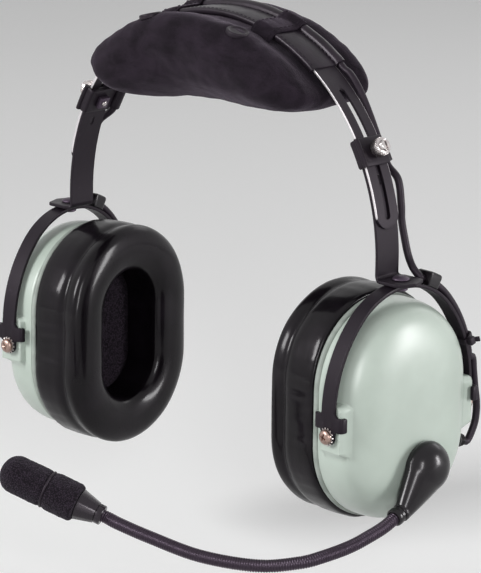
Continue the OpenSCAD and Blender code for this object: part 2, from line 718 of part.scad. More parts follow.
module pivot_washers(side) {
    color("#9b9a9c") on_cup(side) for (leg = [0, 1]) mirror([0, leg, 0]) rotate([-90, 0, 0])
        translate([0, 0, washer_y]) difference() {
            union() {
                cylinder(d = head_d, h = washer_t);
                for (a = [0 : 30 : 330]) rotate([0, 0, a]) translate([0, -0.45, 0]) cube([4.3, 0.9, washer_t]);
            }
            translate([0, 0, -1]) cylinder(d = pivot_d + 2 * seat, h = washer_t + 2);
        }
}

module baffle(side) {
    color("#38373a") on_cup(side) cup_centre() difference() {
        stadium_plate(spigot_r - spigot_wall - 0.3, dome_l, baffle_x, baffle_x + baffle_t);
        translate([baffle_x - 1, 0, 0]) rotate([0, 90, 0]) cylinder(d = speaker_d + 2 * seat, h = baffle_t + 2);
        for (leg = [-1, 1])
            translate([baffle_x - 1, leg * inner_r - 4, -cup_up - 12]) cube([baffle_t + 2, 8, 28]);
    }
}

module speaker(side) {
    color("#6d6c70") on_cup(side) cup_centre() rotate([0, 90, 0]) translate([0, 0, baffle_x]) rotate_extrude()
        polygon([[0, 1], [8, 0.6], [15, 0.2], [speaker_d / 2, 0.2], [speaker_d / 2, baffle_t + 0.1],
                 [speaker_d / 2 + 3, baffle_t + 0.1], [speaker_d / 2 + 3, baffle_t + 1.6],
                 [14.5, baffle_t + 4.2], [12, baffle_t + 4.2], [12, baffle_t + 8.5], [0, baffle_t + 8.5]]);
}

module dome_foam(side) {
    from = baffle_x + baffle_t + 8.7;
    color("#2e2d30") on_cup(side) difference() {
        cup_centre() intersection() {
            stadium_turn(concat([[0, dome_x]], dome_points(inner_r - skin, inner_depth - skin)), dome_l);
            translate([from, -dome_w, -dome_h]) cube([dome_depth, 2 * dome_w, 2 * dome_h]);
        }
        pivot_pads(-1, 0.8 * dome_r - 4, 1.2 * dome_r);
        on_boom() cylinder(d = 15, h = 2 * dome_depth);
    }
}

module grommet(side) {
    color("#151417") on_cup(side) on_grommet() difference() {
        union() {
            translate([0, 0, dome_r - dome_wall - 1.4]) cylinder(d = grommet_d, h = dome_wall + 2);
            translate([0, 0, dome_r + 0.25]) cylinder(d1 = 8, d2 = 5.4, h = 4.8);
        }
        translate([0, 0, dome_r - 10]) cylinder(r = lead_d / 2 + 0.1, h = 20);
    }
}

// Boom

module boom_base() {
    color("#1a191c") on_cup(1) on_boom() translate([0, 0, boom_x]) difference() {
        cylinder(d = boot_d - 3, h = base_t);
        translate([0, 0, -1]) cylinder(d = stud_d + 2 * fit, h = base_t + 2);
    }
}

module boom_stud() {
    from = dome_x + dome_depth - dome_wall - 5.2;
    color("#9a9890") on_cup(1) on_boom() {
        translate([0, 0, from]) cylinder(d = stud_d, h = boot_x - from + 5);
        translate([0, 0, boot_x + 1.6]) cylinder(d = 9, h = 2.5);
    }
}

module boom_nut() {
    top = dome_x + dome_depth - dome_wall - 0.8;
    color("#8d8a86") on_cup(1) on_boom() translate([0, 0, top - 3.6]) difference() {
        cylinder(d = 11, h = 3.6, $fn = 6);
        translate([0, 0, -1]) cylinder(d = stud_d + 2 * seat, h = 6);
    }
}

// The boot is a drop shape whose tail bends to the collar
module boom_boot() {
    r = boot_d / 2;
    color("#0f0f11") on_cup(1) difference() {
        union() {
            hull($fn = 32) {
                on_boom() translate([0, 0, boot_x]) cylinder(r = r, h = 1.5);
                on_boom() translate([0, 0, boot_x + 0.35 * boot_h]) cylinder(r = r * 0.96, h = 0.1);
                on_boom() translate([0, 0, boot_x + 0.7 * boot_h]) cylinder(r = r * 0.72, h = 0.1);
                on_boom() translate([0, 0, boot_x + boot_h - 0.1]) cylinder(r = r * 0.32, h = 0.1);
            }
            hull($fn = 32) {
                on_boom() translate([0, 0, boot_x]) cylinder(r = r * 0.98, h = 1);
                on_boom() translate([0, 0, boot_x + 0.5 * boot_h]) cylinder(r = r * 0.8, h = 0.1);
                translate(collar_at - 3.4 * collar_dir) sphere(r = 3.9);
            }
        }
        on_boom() translate([0, 0, boot_x - 1]) cylinder(d = stud_d + 2 * fit, h = 7);
        on_boom() translate([0, 0, boot_x + 1.5]) cylinder(d = 9 + 2 * fit, h = 2.8);
        translate(collar_at) towards(collar_dir) translate([0, 0, -1.2]) cylinder(d = 12, h = 8);
        translate([0, -60, -80]) cube([boot_x, 120, 100]);
    }
}

module boom_collar() {
    color("#1b1a1d") on_cup(1) translate(collar_at) towards(collar_dir) difference() {
        union() {
            translate([0, 0, -1]) cylinder(d = 8.6, h = 2.2);
            translate([0, 0, 1.2]) cylinder(d = 7.6, h = 1.6);
            translate([0, 0, 2.8]) cylinder(d = 8.2, h = collar_len - 3);
        }
        translate([0, 0, -2]) cylinder(d = boom_d + 0.5, h = collar_len + 4);
    }
}

// The gooseneck is one ribbed tube: two rings of eight sides for each rib
module boom_gooseneck() {
    start = [collar_at - 0.6 * collar_dir / norm(collar_dir), collar_at + 2.8 * collar_dir / norm(collar_dir)];
    end = [mic_at - 6 * mic_dir, mic_at + 1 * mic_dir];
    points = concat(start, boom_route, end);
    path = curve(points, 24);
    n = len(path) - 1;
    color("#2a292c") on_cup(1) skin_rings([
        for (i = [0 : 2 * rib_count]) let (k = round(i * n / (2 * rib_count)),
                                           plain = i < 6 || i > 2 * rib_count - 6)
            ring(path[k], heading(path, k), [0, 0, 1], boom_d / 2 - (!plain && i % 2 == 1 ? 0.35 : 0), 8)]);
}

module on_mic() { on_cup(1) translate(mic_at) towards(mic_dir) children(); }

module mic_housing() {
    color("#141416") on_mic() difference() {
        union() {
            translate([0, 0, -3]) cylinder(d = 9.2, h = 3.2);
            cylinder(d1 = 9.6, d2 = 14.6, h = 9, $fn = 12);
            cylinder(d = housing_d, h = housing_len);
        }
        translate([0, 0, -4]) cylinder(d = boom_d + 0.5, h = 6);
        translate([0, 0, housing_len - 5]) cylinder(d = 9.8, h = 6);
    }
}

module mic_element() {
    color("#b7b4ac") on_mic() translate([0, 0, housing_len - 4.9]) difference() {
        cylinder(d = 9.7, h = 5);
        translate([0, 0, 4.2]) cylinder(d = 2, h = 2);
    }
}

module mic_windscreen() {
    r = windscreen_d / 2;
    len = windscreen_len;
    from = 9.5;
    groove = ring_at - from;
    color("#333237") on_mic() translate([0, 0, from]) rotate_extrude() difference() {
        polygon([[0, 0], [r * 0.93, 0], [r * 1.02, 1.2], [r * 1.02, groove - 3], [r, groove - 1.2],
                 [r * 0.93, groove - 0.7], [r * 0.93, groove + 0.7], [r, groove + 1.2],
                 for (a = [0 : 15 : 90]) [r * cos(a), len - r * 0.8 * (1 - sin(a))]]);
        translate([0, -1]) square([housing_d / 2 + 0.1, housing_len - from + 1.6]);
    }
}

module mic_windscreen_ring() {
    r = windscreen_d / 2;
    color("#1d1c1f") on_mic() translate([0, 0, ring_at]) rotate_extrude() translate([r * 0.93 + 0.6, 0]) circle(0.5);
}

headband_spring();
band_sleeve();
head_pad();
pad_keepers();
pad_snaps();
lead_in_band();
slide_arm(1);  // left_slide_arm
clamp_block(1);  // left_clamp_block
clamp_screw(1);  // left_clamp_screw
clamp_nut(1);  // left_clamp_nut
swivel_rivet(1);  // left_swivel_rivet
stirrup(1);  // left_stirrup
lead_clip(1);  // left_lead_clip
lead_tie(1);  // left_lead_tie
lead_run(1);  // left_lead_run
lead_drop(1, left_arch, left_hang, left_foot);  // left_lead_drop
lead_tail(1);  // left_lead_tail
dome(1);  // left_dome
pivot_screws(1);  // left_pivot_screws
pivot_washers(1);  // left_pivot_washers
seal_plate(1);  // left_seal_plate
ear_seal(1);  // left_ear_seal
foam_liner(1);  // left_foam_liner
baffle(1);  // left_baffle
speaker(1);  // left_speaker
dome_foam(1);  // left_dome_foam
grommet(1);  // left_grommet
slide_arm(-1);  // right_slide_arm
clamp_block(-1);  // right_clamp_block
clamp_screw(-1);  // right_clamp_screw
clamp_nut(-1);  // right_clamp_nut
swivel_rivet(-1);  // right_swivel_rivet
stirrup(-1);  // right_stirrup
lead_clip(-1);  // right_lead_clip
lead_tie(-1);  // right_lead_tie
lead_run(-1);  // right_lead_run
lead_drop(-1, right_arch, right_hang, right_foot);  // right_lead_drop
lead_tail(-1);  // right_lead_tail
dome(-1);  // right_dome
pivot_screws(-1);  // right_pivot_screws
pivot_washers(-1);  // right_pivot_washers
seal_plate(-1);  // right_seal_plate
ear_seal(-1);  // right_ear_seal
foam_liner(-1);  // right_foam_liner
baffle(-1);  // right_baffle
speaker(-1);  // right_speaker
dome_foam(-1);  // right_dome_foam
grommet(-1);  // right_grommet
boom_base();
boom_boot();
boom_stud();
boom_nut();
boom_collar();
boom_gooseneck();
mic_housing();
mic_element();
mic_windscreen();
mic_windscreen_ring();
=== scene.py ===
import math

import bmesh
import bpy
import numpy as np
from mathutils import Matrix, Vector, noise
from mathutils.bvhtree import BVHTree


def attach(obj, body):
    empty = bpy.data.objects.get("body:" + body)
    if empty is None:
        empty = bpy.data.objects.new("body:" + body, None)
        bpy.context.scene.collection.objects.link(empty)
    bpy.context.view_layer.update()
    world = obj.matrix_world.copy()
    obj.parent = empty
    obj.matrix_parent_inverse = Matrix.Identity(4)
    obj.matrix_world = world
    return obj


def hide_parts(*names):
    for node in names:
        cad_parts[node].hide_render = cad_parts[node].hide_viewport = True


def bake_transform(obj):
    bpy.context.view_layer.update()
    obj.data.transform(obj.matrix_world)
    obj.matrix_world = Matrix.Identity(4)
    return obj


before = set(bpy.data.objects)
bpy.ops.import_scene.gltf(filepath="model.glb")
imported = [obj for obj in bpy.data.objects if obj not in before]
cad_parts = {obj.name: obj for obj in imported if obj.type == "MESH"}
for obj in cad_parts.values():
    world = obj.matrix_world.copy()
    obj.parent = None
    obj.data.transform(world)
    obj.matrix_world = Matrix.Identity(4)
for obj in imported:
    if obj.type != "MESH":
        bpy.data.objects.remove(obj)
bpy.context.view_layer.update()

MM = 0.001

# ---------------------------------------------------------------- sizes, in millimetres and degrees

SIDES = ((1, "left"), (-1, "right"))  # the wearer's left lies along X
PLAY = 0.1  # between pieces that are seated in one another
SLIDE = 0.15  # between pieces that slide or turn on one another

# the band's arch, with the angles above the level of its tips and of the clamps' middles
BAND_R, BAND_T, BAND_W = 101.3, 1.2, 14.5
BAND_OUT, BAND_MID = BAND_R + BAND_T, BAND_R + BAND_T / 2
TIP = math.degrees(math.asin(15 / BAND_OUT))
CLAMP = math.degrees(math.asin(49 / BAND_OUT))
CLAMP_TURN = math.degrees(6.75 / BAND_OUT)
CLAMP_WALL, NUT_T = 1.2, 2.2

STIRRUP_TOP, STIRRUP_HALF, STIRRUP_T, STIRRUP_W = 62.5, 43.2, 1.7, 8.0
FOOT_Z = STIRRUP_TOP + STIRRUP_T / 2 + SLIDE
FOOT_T = 1.6
ARCH_Z = FOOT_Z + 8.5
ARM_OUT, ARM_T = BAND_R - PLAY, 1.5
ARM_MID, ARM_BEND, ARM_TOP = ARM_OUT - ARM_T / 2, 2.2, CLAMP + CLAMP_TURN
YOKE_X = ARM_OUT + 7.8

SLEEVE_T, SLEEVE_SPAN = 1, 36.0
SLEEVE_IN, SLEEVE_OUT, SLEEVE_FRONT = BAND_R - SLEEVE_T, BAND_OUT + SLEEVE_T, -BAND_W / 2 - 1.5
LEAD_D = 3.5
LEAD_Y = BAND_W / 2 + 0.75 + LEAD_D / 2 + PLAY
BEAD_R = LEAD_D / 2 + PLAY + SLEEVE_T + 0.05
LEAD_R = SLEEVE_IN + BEAD_R
LOOP_BORE = LEAD_D / 2 + 0.35
LOOP_Y, LOOP_R = BAND_W / 2 + SLIDE + CLAMP_WALL + LOOP_BORE + 0.2, ARM_OUT - ARM_T - 1.1

# the head pad: its level middle is PAD_LEVEL to each side of the crown
PAD_TOP, PAD_FLAT, PAD_HALF, PAD_THICK = SLEEVE_IN - 0.3, LEAD_Y + BEAD_R + 3.2, 35.0, 36.0
PAD_SPAN, PAD_ROLL, PAD_LEVEL = 45.0, 4.0, 7
PAD_ROLL_TOP = 0.42  # where the roll is highest, as a share of the way out

# the stirrup in its own plane: a crown arc, two side arcs and two straight legs
SIDE_R = 60.0
LEG_UP = STIRRUP_TOP - 0.875 * SIDE_R
SIDE_C = SIDE_R - STIRRUP_HALF
CROWN_R = (SIDE_R**2 - SIDE_C**2 - (STIRRUP_TOP - LEG_UP) ** 2) / (2 * (SIDE_R - STIRRUP_TOP + LEG_UP))
CROWN_Z = STIRRUP_TOP - CROWN_R
JOIN = math.degrees(math.atan2(CROWN_Z - LEG_UP, SIDE_C))
CROWN_RUN, SIDE_RUN = CROWN_R * math.radians(90 - JOIN), SIDE_R * math.radians(JOIN)
STIRRUP_LEG = CROWN_RUN + SIDE_RUN + LEG_UP
LEAD_OFF = STIRRUP_T / 2 + PLAY + 0.8 + LEAD_D / 2 + PLAY

# the cups, in a cup's frame: X runs outwards from the stirrup's plane
TOE = 4.0
SEAL_FACE, SEAL_DEPTH, SEAL_R, SEAL_L, SEAL_BORE = -44.2, 30.0, 41.2, 13.4, 19.2
CUP_UP = 4.2
PLATE_X = SEAL_FACE + SEAL_DEPTH + PLAY
PLATE_T = 3.2
DOME_X = PLATE_X + PLATE_T + PLAY
DOME_R, DOME_L, DOME_DEPTH, DOME_N, DOME_WALL = 39.4, 12.0, 24.2, 3.5, 2.4
PIVOT_FACE = STIRRUP_HALF - STIRRUP_T / 2 - 0.25
WASHER_Y = STIRRUP_HALF + STIRRUP_T / 2 + 0.05
HEAD_Y = WASHER_Y + 0.55
GROMMET_TURN = math.radians(-14)

# the boom, in the left cup's frame
BOOM_Y, BOOM_Z = 3.0, -19.6
BASE_X, BASE_T = DOME_X + DOME_DEPTH + PLAY, 1.3
BOOT_X = BASE_X + BASE_T + SLIDE
COLLAR_AT = Vector((18.6, -14.2, -36.7))
COLLAR_DIR = Vector((0.04, -0.94, -0.33)).normalized()
MIC_AT = Vector((-73.6, -115.7, -39.2))
MIC_DIR = Vector((-0.79, -0.507, 0.353)).normalized()
BOOM_ROUTE = [(18.9, -25, -41.2), (18, -33.4, -44.1), (16.4, -44, -47.2), (13.9, -57, -49.4),
              (9.5, -68.2, -51.2), (-2, -83.2, -52.3), (-24.5, -97, -50.7), (-48.1, -106, -46.2),
              (-63.5, -111.3, -42.7)]

# clears the boom at its lowest, with the arm drawn right out
FLOOR_Z = -108

# ---------------------------------------------------------------- camera, light and floor


def frame_of(x, y, z, place):
    """A frame with these axes, at a place."""
    rows = [(x[i], y[i], z[i], place[i]) for i in range(3)]
    return Matrix((*rows, (0, 0, 0, 1)))


def set_camera():
    azimuth, elevation, roll = (math.radians(a) for a in (43.84, 14.18, 0.78))
    level = math.cos(elevation)
    back = Vector((math.sin(azimuth) * level, -math.cos(azimuth) * level, math.sin(elevation)))
    right = Vector((math.cos(azimuth), math.sin(azimuth), 0))
    up = back.cross(right)
    camera = bpy.data.objects.new("camera", bpy.data.cameras.new("camera"))
    camera.data.sensor_fit = "HORIZONTAL"
    camera.data.sensor_width = 36
    camera.data.lens = 232.55
    camera.data.clip_start, camera.data.clip_end = 0.05, 20
    across = right * math.cos(roll) + up * math.sin(roll)
    above = up * math.cos(roll) - right * math.sin(roll)
    camera.matrix_world = frame_of(across, above, back, Vector((0.00919, 0, 0.04345)) + back * 1.46704)
    bpy.context.collection.objects.link(camera)
    bpy.context.scene.camera = camera


def area_light(name, at, aim, size, watts):
    lamp = bpy.data.lights.new(name, "AREA")
    lamp.shape = "RECTANGLE"
    lamp.size, lamp.size_y = size
    lamp.energy = watts
    thing = bpy.data.objects.new(name, lamp)
    thing.location = at
    thing.rotation_euler = (Vector(aim) - Vector(at)).to_track_quat("-Z", "Y").to_euler()
    bpy.context.collection.objects.link(thing)


# ---------------------------------------------------------------- finishes


class Val:
    """A number that changes over the surface. Its operators add Math nodes."""

    def __init__(self, look, socket):
        self.look, self.socket = look, socket

    def math(self, operation, *others):
        return self.look.math(operation, self, *others)

    def __add__(self, other):
        return self.math("ADD", other)

    def __sub__(self, other):
        return self.math("SUBTRACT", other)

    def __rsub__(self, other):
        return self.look.math("SUBTRACT", other, self)

    def __mul__(self, other):
        return self.math("MULTIPLY", other)

    __radd__, __rmul__ = __add__, __mul__

    def between(self, low, high):
        """0 below low, 1 above high and smooth between."""
        settings = {"interpolation_type": "SMOOTHSTEP"}
        sockets = {"Value": self, "From Min": low, "From Max": high}
        return self.look.add("ShaderNodeMapRange", settings, sockets).val("Result")


class Node:
    def __init__(self, look, node):
        self.look, self.node = look, node

    def val(self, name):
        return Val(self.look, self.node.outputs[name])


class Look:
    """A material: a Principled shader and what feeds it."""

    def __init__(self, name, **fixed):
        self.material = bpy.data.materials.new(name)
        self.material.use_nodes = True
        self.tree = self.material.node_tree
        self.tree.nodes.clear()
        sockets = {key.replace("_", " "): value for key, value in fixed.items()}
        self.shader = self.add("ShaderNodeBsdfPrincipled", {}, sockets).node
        self.add("ShaderNodeOutputMaterial", {}, {"Surface": Val(self, self.shader.outputs["BSDF"])})
        self.at = self.add("ShaderNodeTexCoord").val("Object")
        self.last_bump = None

    def feed(self, socket, value):
        """Links a changing value to a socket, or sets a fixed one."""
        if isinstance(value, Val):
            self.tree.links.new(value.socket, socket)
        else:
            socket.default_value = value

    def add(self, kind, settings=None, sockets=None):
        node = self.tree.nodes.new(kind)
        for key, value in (settings or {}).items():
            setattr(node, key, value)
        for key, value in (sockets or {}).items():
            self.feed(node.inputs[key], value)
        return Node(self, node)

    def math(self, operation, *values):
        return self.add("ShaderNodeMath", {"operation": operation}, dict(enumerate(values))).val("Value")

    def set(self, name, value):
        self.feed(self.shader.inputs[name], value)
        return self

    def stretched(self, x, y, z):
        return self.add("ShaderNodeMapping", {}, {"Vector": self.at, "Scale": (x, y, z)}).val("Vector")

    def noise(self, size, detail, rough=0.5, vector=None, bend=0.0):
        """Cloudy pattern with features of about size millimetres."""
        sockets = {"Vector": vector or self.at, "Scale": 1 / (size * MM), "Detail": detail}
        sockets.update({"Roughness": rough, "Distortion": bend})
        return self.add("ShaderNodeTexNoise", {}, sockets).val("Fac")

    def cells(self, size, feature):
        sockets = {"Vector": self.at, "Scale": 1 / (size * MM)}
        return self.add("ShaderNodeTexVoronoi", {"feature": feature}, sockets).val("Distance")

    def waves(self, size, direction):
        sockets = {"Vector": self.at, "Scale": 1 / (size * MM) / 20}
        return self.add("ShaderNodeTexWave", {"bands_direction": direction}, sockets).val("Fac")

    def blend(self, mask, first, second):
        """A colour from first, where mask is 0, to second."""
        node = self.add("ShaderNodeMix", {"data_type": "RGBA"}).node
        self.tree.links.new(mask.socket, node.inputs[0])
        for socket, colour in ((node.inputs[6], first), (node.inputs[7], second)):
            self.feed(socket, colour if isinstance(colour, Val) else (*colour, 1))
        return Val(self, node.outputs[2])

    def bump(self, height, depth, strength=1.0):
        """Raises the surface by height times depth millimetres."""
        sockets = {"Height": height, "Distance": depth * MM, "Strength": strength}
        if self.last_bump:
            sockets["Normal"] = self.last_bump
        self.last_bump = self.add("ShaderNodeBump", {}, sockets).val("Normal")
        return self.set("Normal", self.last_bump)


PLUM = (1.0, 0.88, 1.0, 1)  # the tint of what black surfaces reflect


def grey(v):
    return (v, v, v)


def dark(v):
    """A black with a faint plum cast."""
    return (v * 1.2, v * 0.86, v * 1.28)


def srgb(*levels):
    """A linear colour from screen levels of 11 to 255."""
    return tuple(((level / 255 + 0.055) / 1.055) ** 2.4 for level in levels)


SHINE = {"Specular_IOR_Level": 0.24, "Specular_Tint": PLUM}
METAL = {"Metallic": 1.0}

# name, two shades, (size, detail) of their clouds, (least, share, size) of the roughness,
# (size, depth) of the grain, and the shader's fixed values
SIMPLE = [
    ("rivet_steel", dark(0.03), dark(0.08), (1.2, 3), (0.36, 0.2, 0.7), (0.5, 0.015),
     {"Metallic": 0.6, "Specular_IOR_Level": 0.3}),
    ("knob_chrome", srgb(166, 160, 160), srgb(212, 206, 205), (1.4, 3), (0.14, 0.16, 0.6), (0.3, 0.01),
     METAL),
    ("plain_steel", srgb(138, 134, 132), srgb(172, 168, 166), (1.5, 3), (0.3, 0.2, 0.5), (0.4, 0.012), METAL),
    ("screw_copper", srgb(122, 98, 90), srgb(182, 158, 148), (1.1, 3), (0.2, 0.2, 0.6), (0.35, 0.015), METAL),
    ("washer_steel", srgb(150, 142, 140), srgb(206, 198, 196), (0.8, 3), (0.2, 0.2, 0.5), (0.4, 0.012),
     METAL),
    ("speaker_metal", srgb(120, 120, 122), srgb(158, 158, 160), (2.4, 3), (0.34, 0.2, 0.7), (0.5, 0.012),
     {"Metallic": 0.9}),
    ("lead_jacket", dark(0.007), dark(0.015), (6, 3), (0.34, 0.18, 1.5), (0.5, 0.02), SHINE),
    ("tie_nylon", dark(0.007), dark(0.014), (3, 2), (0.38, 0.16, 0.9), (0.4, 0.015), SHINE),
    ("snap_enamel", dark(0.005), dark(0.012), (2, 3), (0.42, 0.16, 1.1), (0.6, 0.015), SHINE),
    ("ring_rubber", dark(0.006), dark(0.012), (2, 2), (0.4, 0.15, 0.7), (0.5, 0.02),
     {"Specular_IOR_Level": 0.3, "Specular_Tint": PLUM}),
    ("gooseneck_black", dark(0.016), dark(0.04), (4, 3), (0.24, 0.16, 0.8), (0.3, 0.012),
     {"Metallic": 0.5, "Specular_IOR_Level": 0.4, "Specular_Tint": PLUM}),
    ("inner_plastic", dark(0.010), dark(0.02), (4, 3), (0.46, 0.14, 0.9), (0.5, 0.02),
     {"Specular_IOR_Level": 0.25}),
]


def make_finishes():
    looks = {}

    def look(name, **fixed):
        looks[name] = Look(name, **fixed)
        return looks[name]

    m = look("dome_green", Specular_IOR_Level=0.4, Coat_Roughness=0.32, Coat_Weight=0.8)
    cloud, fine = m.noise(26, 3), m.noise(0.5, 2)
    m.set("Base Color", m.blend(cloud.between(0.3, 0.75), srgb(178, 190, 180), srgb(189, 201, 191)))
    m.set("Roughness", 0.36 + 0.07 * m.noise(7, 4) + 0.05 * fine)
    m.bump(fine, 0.012).bump(m.noise(14, 2), 0.04)

    m = look("plate_grey", Specular_IOR_Level=0.4)
    m.set("Base Color", m.blend(m.noise(9, 3).between(0.35, 0.7), srgb(140, 148, 141), srgb(166, 174, 167)))
    m.set("Roughness", 0.42 + 0.12 * m.noise(1.2, 3))
    m.bump(m.noise(0.6, 2), 0.02)

    m = look("seal_vinyl", Specular_IOR_Level=0.06, Specular_Tint=PLUM, Coat_Weight=0.3, Coat_Roughness=0.15)
    creases, grain = m.noise(3.4, 4, 0.55, m.stretched(1, 1, 0.55), 0.8), m.cells(0.55, "SMOOTH_F1")
    m.set("Base Color", m.blend(m.noise(18, 3).between(0.35, 0.7), dark(0.002), dark(0.0045)))
    m.set("Roughness", 0.26 + 0.14 * m.noise(10, 4).between(0.35, 0.75) + 0.06 * grain)
    m.bump(creases, 0.07).bump(grain, 0.025)

    m = look("sleeve_vinyl", Specular_IOR_Level=0.22, Specular_Tint=PLUM, Coat_Weight=0.1,
             Coat_Roughness=0.25)
    m.set("Base Color", m.blend(m.noise(9, 3).between(0.3, 0.7), dark(0.006), dark(0.013)))
    m.set("Roughness", 0.32 + 0.16 * m.noise(6, 4))
    m.bump(m.noise(5, 3, 0.5, m.stretched(0.5, 1.6, 1)), 0.12).bump(m.cells(0.5, "SMOOTH_F1"), 0.02)

    m = look("pad_velour", Specular_IOR_Level=0.1, Sheen_Weight=0.32, Sheen_Roughness=0.42,
             Sheen_Tint=(0.4, 0.34, 0.42, 1))
    nap, brushed = m.noise(0.45, 3, 0.6), m.noise(8, 3, 0.55, m.stretched(0.6, 1.5, 1), 0.6)
    patch = m.noise(20, 3, 0.5)
    shade = (0.5 * brushed + 0.35 * nap + 0.3 * patch).between(0.42, 0.74)
    m.set("Base Color", m.blend(shade, dark(0.006), dark(0.019)))
    m.set("Roughness", 0.86 + 0.12 * nap)
    m.bump(brushed, 0.5, 0.7).bump(nap, 0.16)

    m = look("black_steel", Specular_IOR_Level=0.16, Specular_Tint=PLUM, Coat_Weight=0.06, Coat_Roughness=0.2)
    speck, rub = m.noise(0.35, 3), m.noise(5, 5, 0.62)
    m.set("Base Color", m.blend(rub.between(0.6, 0.78), dark(0.008), dark(0.019)))
    m.set("Roughness", 0.36 + 0.14 * speck + 0.12 * rub)
    m.bump(speck, 0.014).bump(m.noise(2.2, 2), 0.02)

    m = look("band_steel", Specular_IOR_Level=0.24, Specular_Tint=PLUM)
    speck, rub = m.noise(0.35, 3), m.noise(5, 5, 0.62)
    width = m.add("ShaderNodeSeparateXYZ", {}, {"Vector": m.at}).val("Y").math("ABSOLUTE")
    # painted highlight: the outer edges of the band are coloured bright and metallic, standing in for the
    # edges catching the light
    painted_edge_highlight = width.between((BAND_W / 2 - 0.35) * MM, (BAND_W / 2 - 0.12) * MM)
    black = m.blend(rub.between(0.6, 0.78), dark(0.008), dark(0.019))
    m.set("Base Color", m.blend(painted_edge_highlight, black, srgb(206, 202, 204)))
    m.set("Metallic", 0.85 * painted_edge_highlight)
    m.set("Roughness", 0.36 + 0.14 * speck + 0.1 * rub)
    m.bump(speck, 0.014).bump(m.noise(2.2, 2), 0.02)

    for name, first, second, cloud, (least, share, size), (grain, depth), fixed in SIMPLE:
        m = look(name, **fixed)
        m.set("Base Color", m.blend(m.noise(*cloud), first, second))
        m.set("Roughness", least + share * m.noise(size, 3))
        m.bump(m.noise(grain, 2), depth)

    m = look("boot_rubber", Specular_IOR_Level=0.1, Specular_Tint=PLUM, Coat_Weight=0.5, Coat_Roughness=0.19)
    m.set("Base Color", m.blend(m.noise(7, 3), dark(0.0015), dark(0.004)))
    m.set("Roughness", 0.24 + 0.12 * m.noise(4, 4))
    m.bump(m.noise(3, 3), 0.05).bump(m.noise(0.4, 2), 0.006)

    m = look("mic_black", Specular_IOR_Level=0.3, Specular_Tint=PLUM, Coat_Weight=0.25, Coat_Roughness=0.12)
    m.set("Base Color", m.blend(m.noise(4, 3), dark(0.004), dark(0.009)))
    m.set("Roughness", 0.2 + 0.14 * m.noise(2.5, 4))
    m.bump(m.noise(1.8, 3), 0.04)

    m = look("wind_foam", Specular_IOR_Level=0.08, Sheen_Weight=0.16, Sheen_Roughness=0.6,
             Sheen_Tint=(0.5, 0.46, 0.54, 1))
    pores_and_pit_shade, lumps = m.cells(0.62, "F1"), m.noise(2.6, 4, 0.6)
    # painted shade: the pits between the raised cells are coloured darker, and the lumps vary the tone at
    # random
    m.set("Base Color", m.blend((1.2 * pores_and_pit_shade + 0.5 * lumps).between(0.35, 1.0), dark(0.036), dark(0.006)))
    m.set("Roughness", 0.92 + 0.06 * lumps)
    m.bump(1 - pores_and_pit_shade, 0.34).bump(lumps, 0.6)

    m = look("liner_foam", Specular_IOR_Level=0.08)
    pores_and_pit_shade = m.cells(0.9, "F1")
    # painted shade: the pits between the raised cells are coloured darker
    m.set("Base Color", m.blend(pores_and_pit_shade.between(0.15, 0.75), dark(0.017), dark(0.004)))
    m.set("Roughness", 0.93 + 0.05 * m.noise(2, 2))
    m.bump(1 - pores_and_pit_shade, 0.4).bump(m.noise(4, 3), 0.5)

    m = look("thread_black", Specular_IOR_Level=0.15)
    m.set("Base Color", m.blend(m.noise(0.5, 2), dark(0.010), dark(0.022)))
    m.set("Roughness", 0.7 + 0.15 * m.noise(0.4, 2))
    m.bump(m.waves(0.35, "DIAGONAL"), 0.05)
    return looks


LOOKS = make_finishes()

# ---------------------------------------------------------------- making and finishing meshes


def link(name, mesh):
    thing = bpy.data.objects.new(name, mesh)
    bpy.context.collection.objects.link(thing)
    return thing


def to_object(name, points, faces):
    """Points in millimetres."""
    mesh = bpy.data.meshes.new(name)
    mesh.from_pydata([(p[0] * MM, p[1] * MM, p[2] * MM) for p in points], [], faces)
    mesh.validate()
    return link(name, mesh)


def add_line(curve, points):
    """Adds a line through points in millimetres."""
    line = curve.splines.new("POLY")
    line.points.add(len(points) - 1)
    for point, (x, y, z) in zip(line.points, points):
        point.co = (x * MM, y * MM, z * MM, 1)
    return line


def edit(thing):
    b = bmesh.new()
    b.from_mesh(thing.data)
    return b


def done(b, thing):
    b.to_mesh(thing.data)
    b.free()
    thing.data.update()
    return thing


def clean(thing, merge=0.002):
    b = edit(thing)
    bmesh.ops.remove_doubles(b, verts=b.verts, dist=merge * MM)
    bmesh.ops.dissolve_degenerate(b, dist=1e-7, edges=b.edges)
    bmesh.ops.recalc_face_normals(b, faces=b.faces)
    return done(b, thing)


def turned(thing, matrix):
    """Moves the mesh by a matrix in millimetres."""
    m = matrix.copy()
    m.translation = m.translation * MM
    thing.data.transform(m)
    if m.determinant() < 0:
        thing.data.flip_normals()
    return thing


def modify(thing, kind, **settings):
    modifier = thing.modifiers.new(kind.lower(), kind)
    for key, value in settings.items():
        setattr(modifier, key, value)


def plain(thing):
    """Applies the modifiers."""
    bpy.context.view_layer.update()
    result = bpy.data.meshes.new_from_object(thing.evaluated_get(bpy.context.evaluated_depsgraph_get()))
    thing.modifiers.clear()
    if thing.type == "MESH":
        thing.data = result
        return thing
    name = thing.name
    bpy.data.objects.remove(thing)
    return link(name, result)


def smooth(thing, angle):
    thing.data.shade_smooth()
    thing.data.set_sharp_from_angle(angle=math.radians(angle))
    return thing


def bevelled(thing, width, angle=35.0, segments=2):
    modify(thing, "BEVEL", width=width * MM, segments=segments, limit_method="ANGLE",
           angle_limit=math.radians(angle), harden_normals=False)
    return plain(thing)


def joined(name, things):
    b = bmesh.new()
    for thing in things:
        b.from_mesh(thing.data)
        bpy.data.objects.remove(thing)
    mesh = bpy.data.meshes.new(name)
    b.to_mesh(mesh)
    b.free()
    return link(name, mesh)


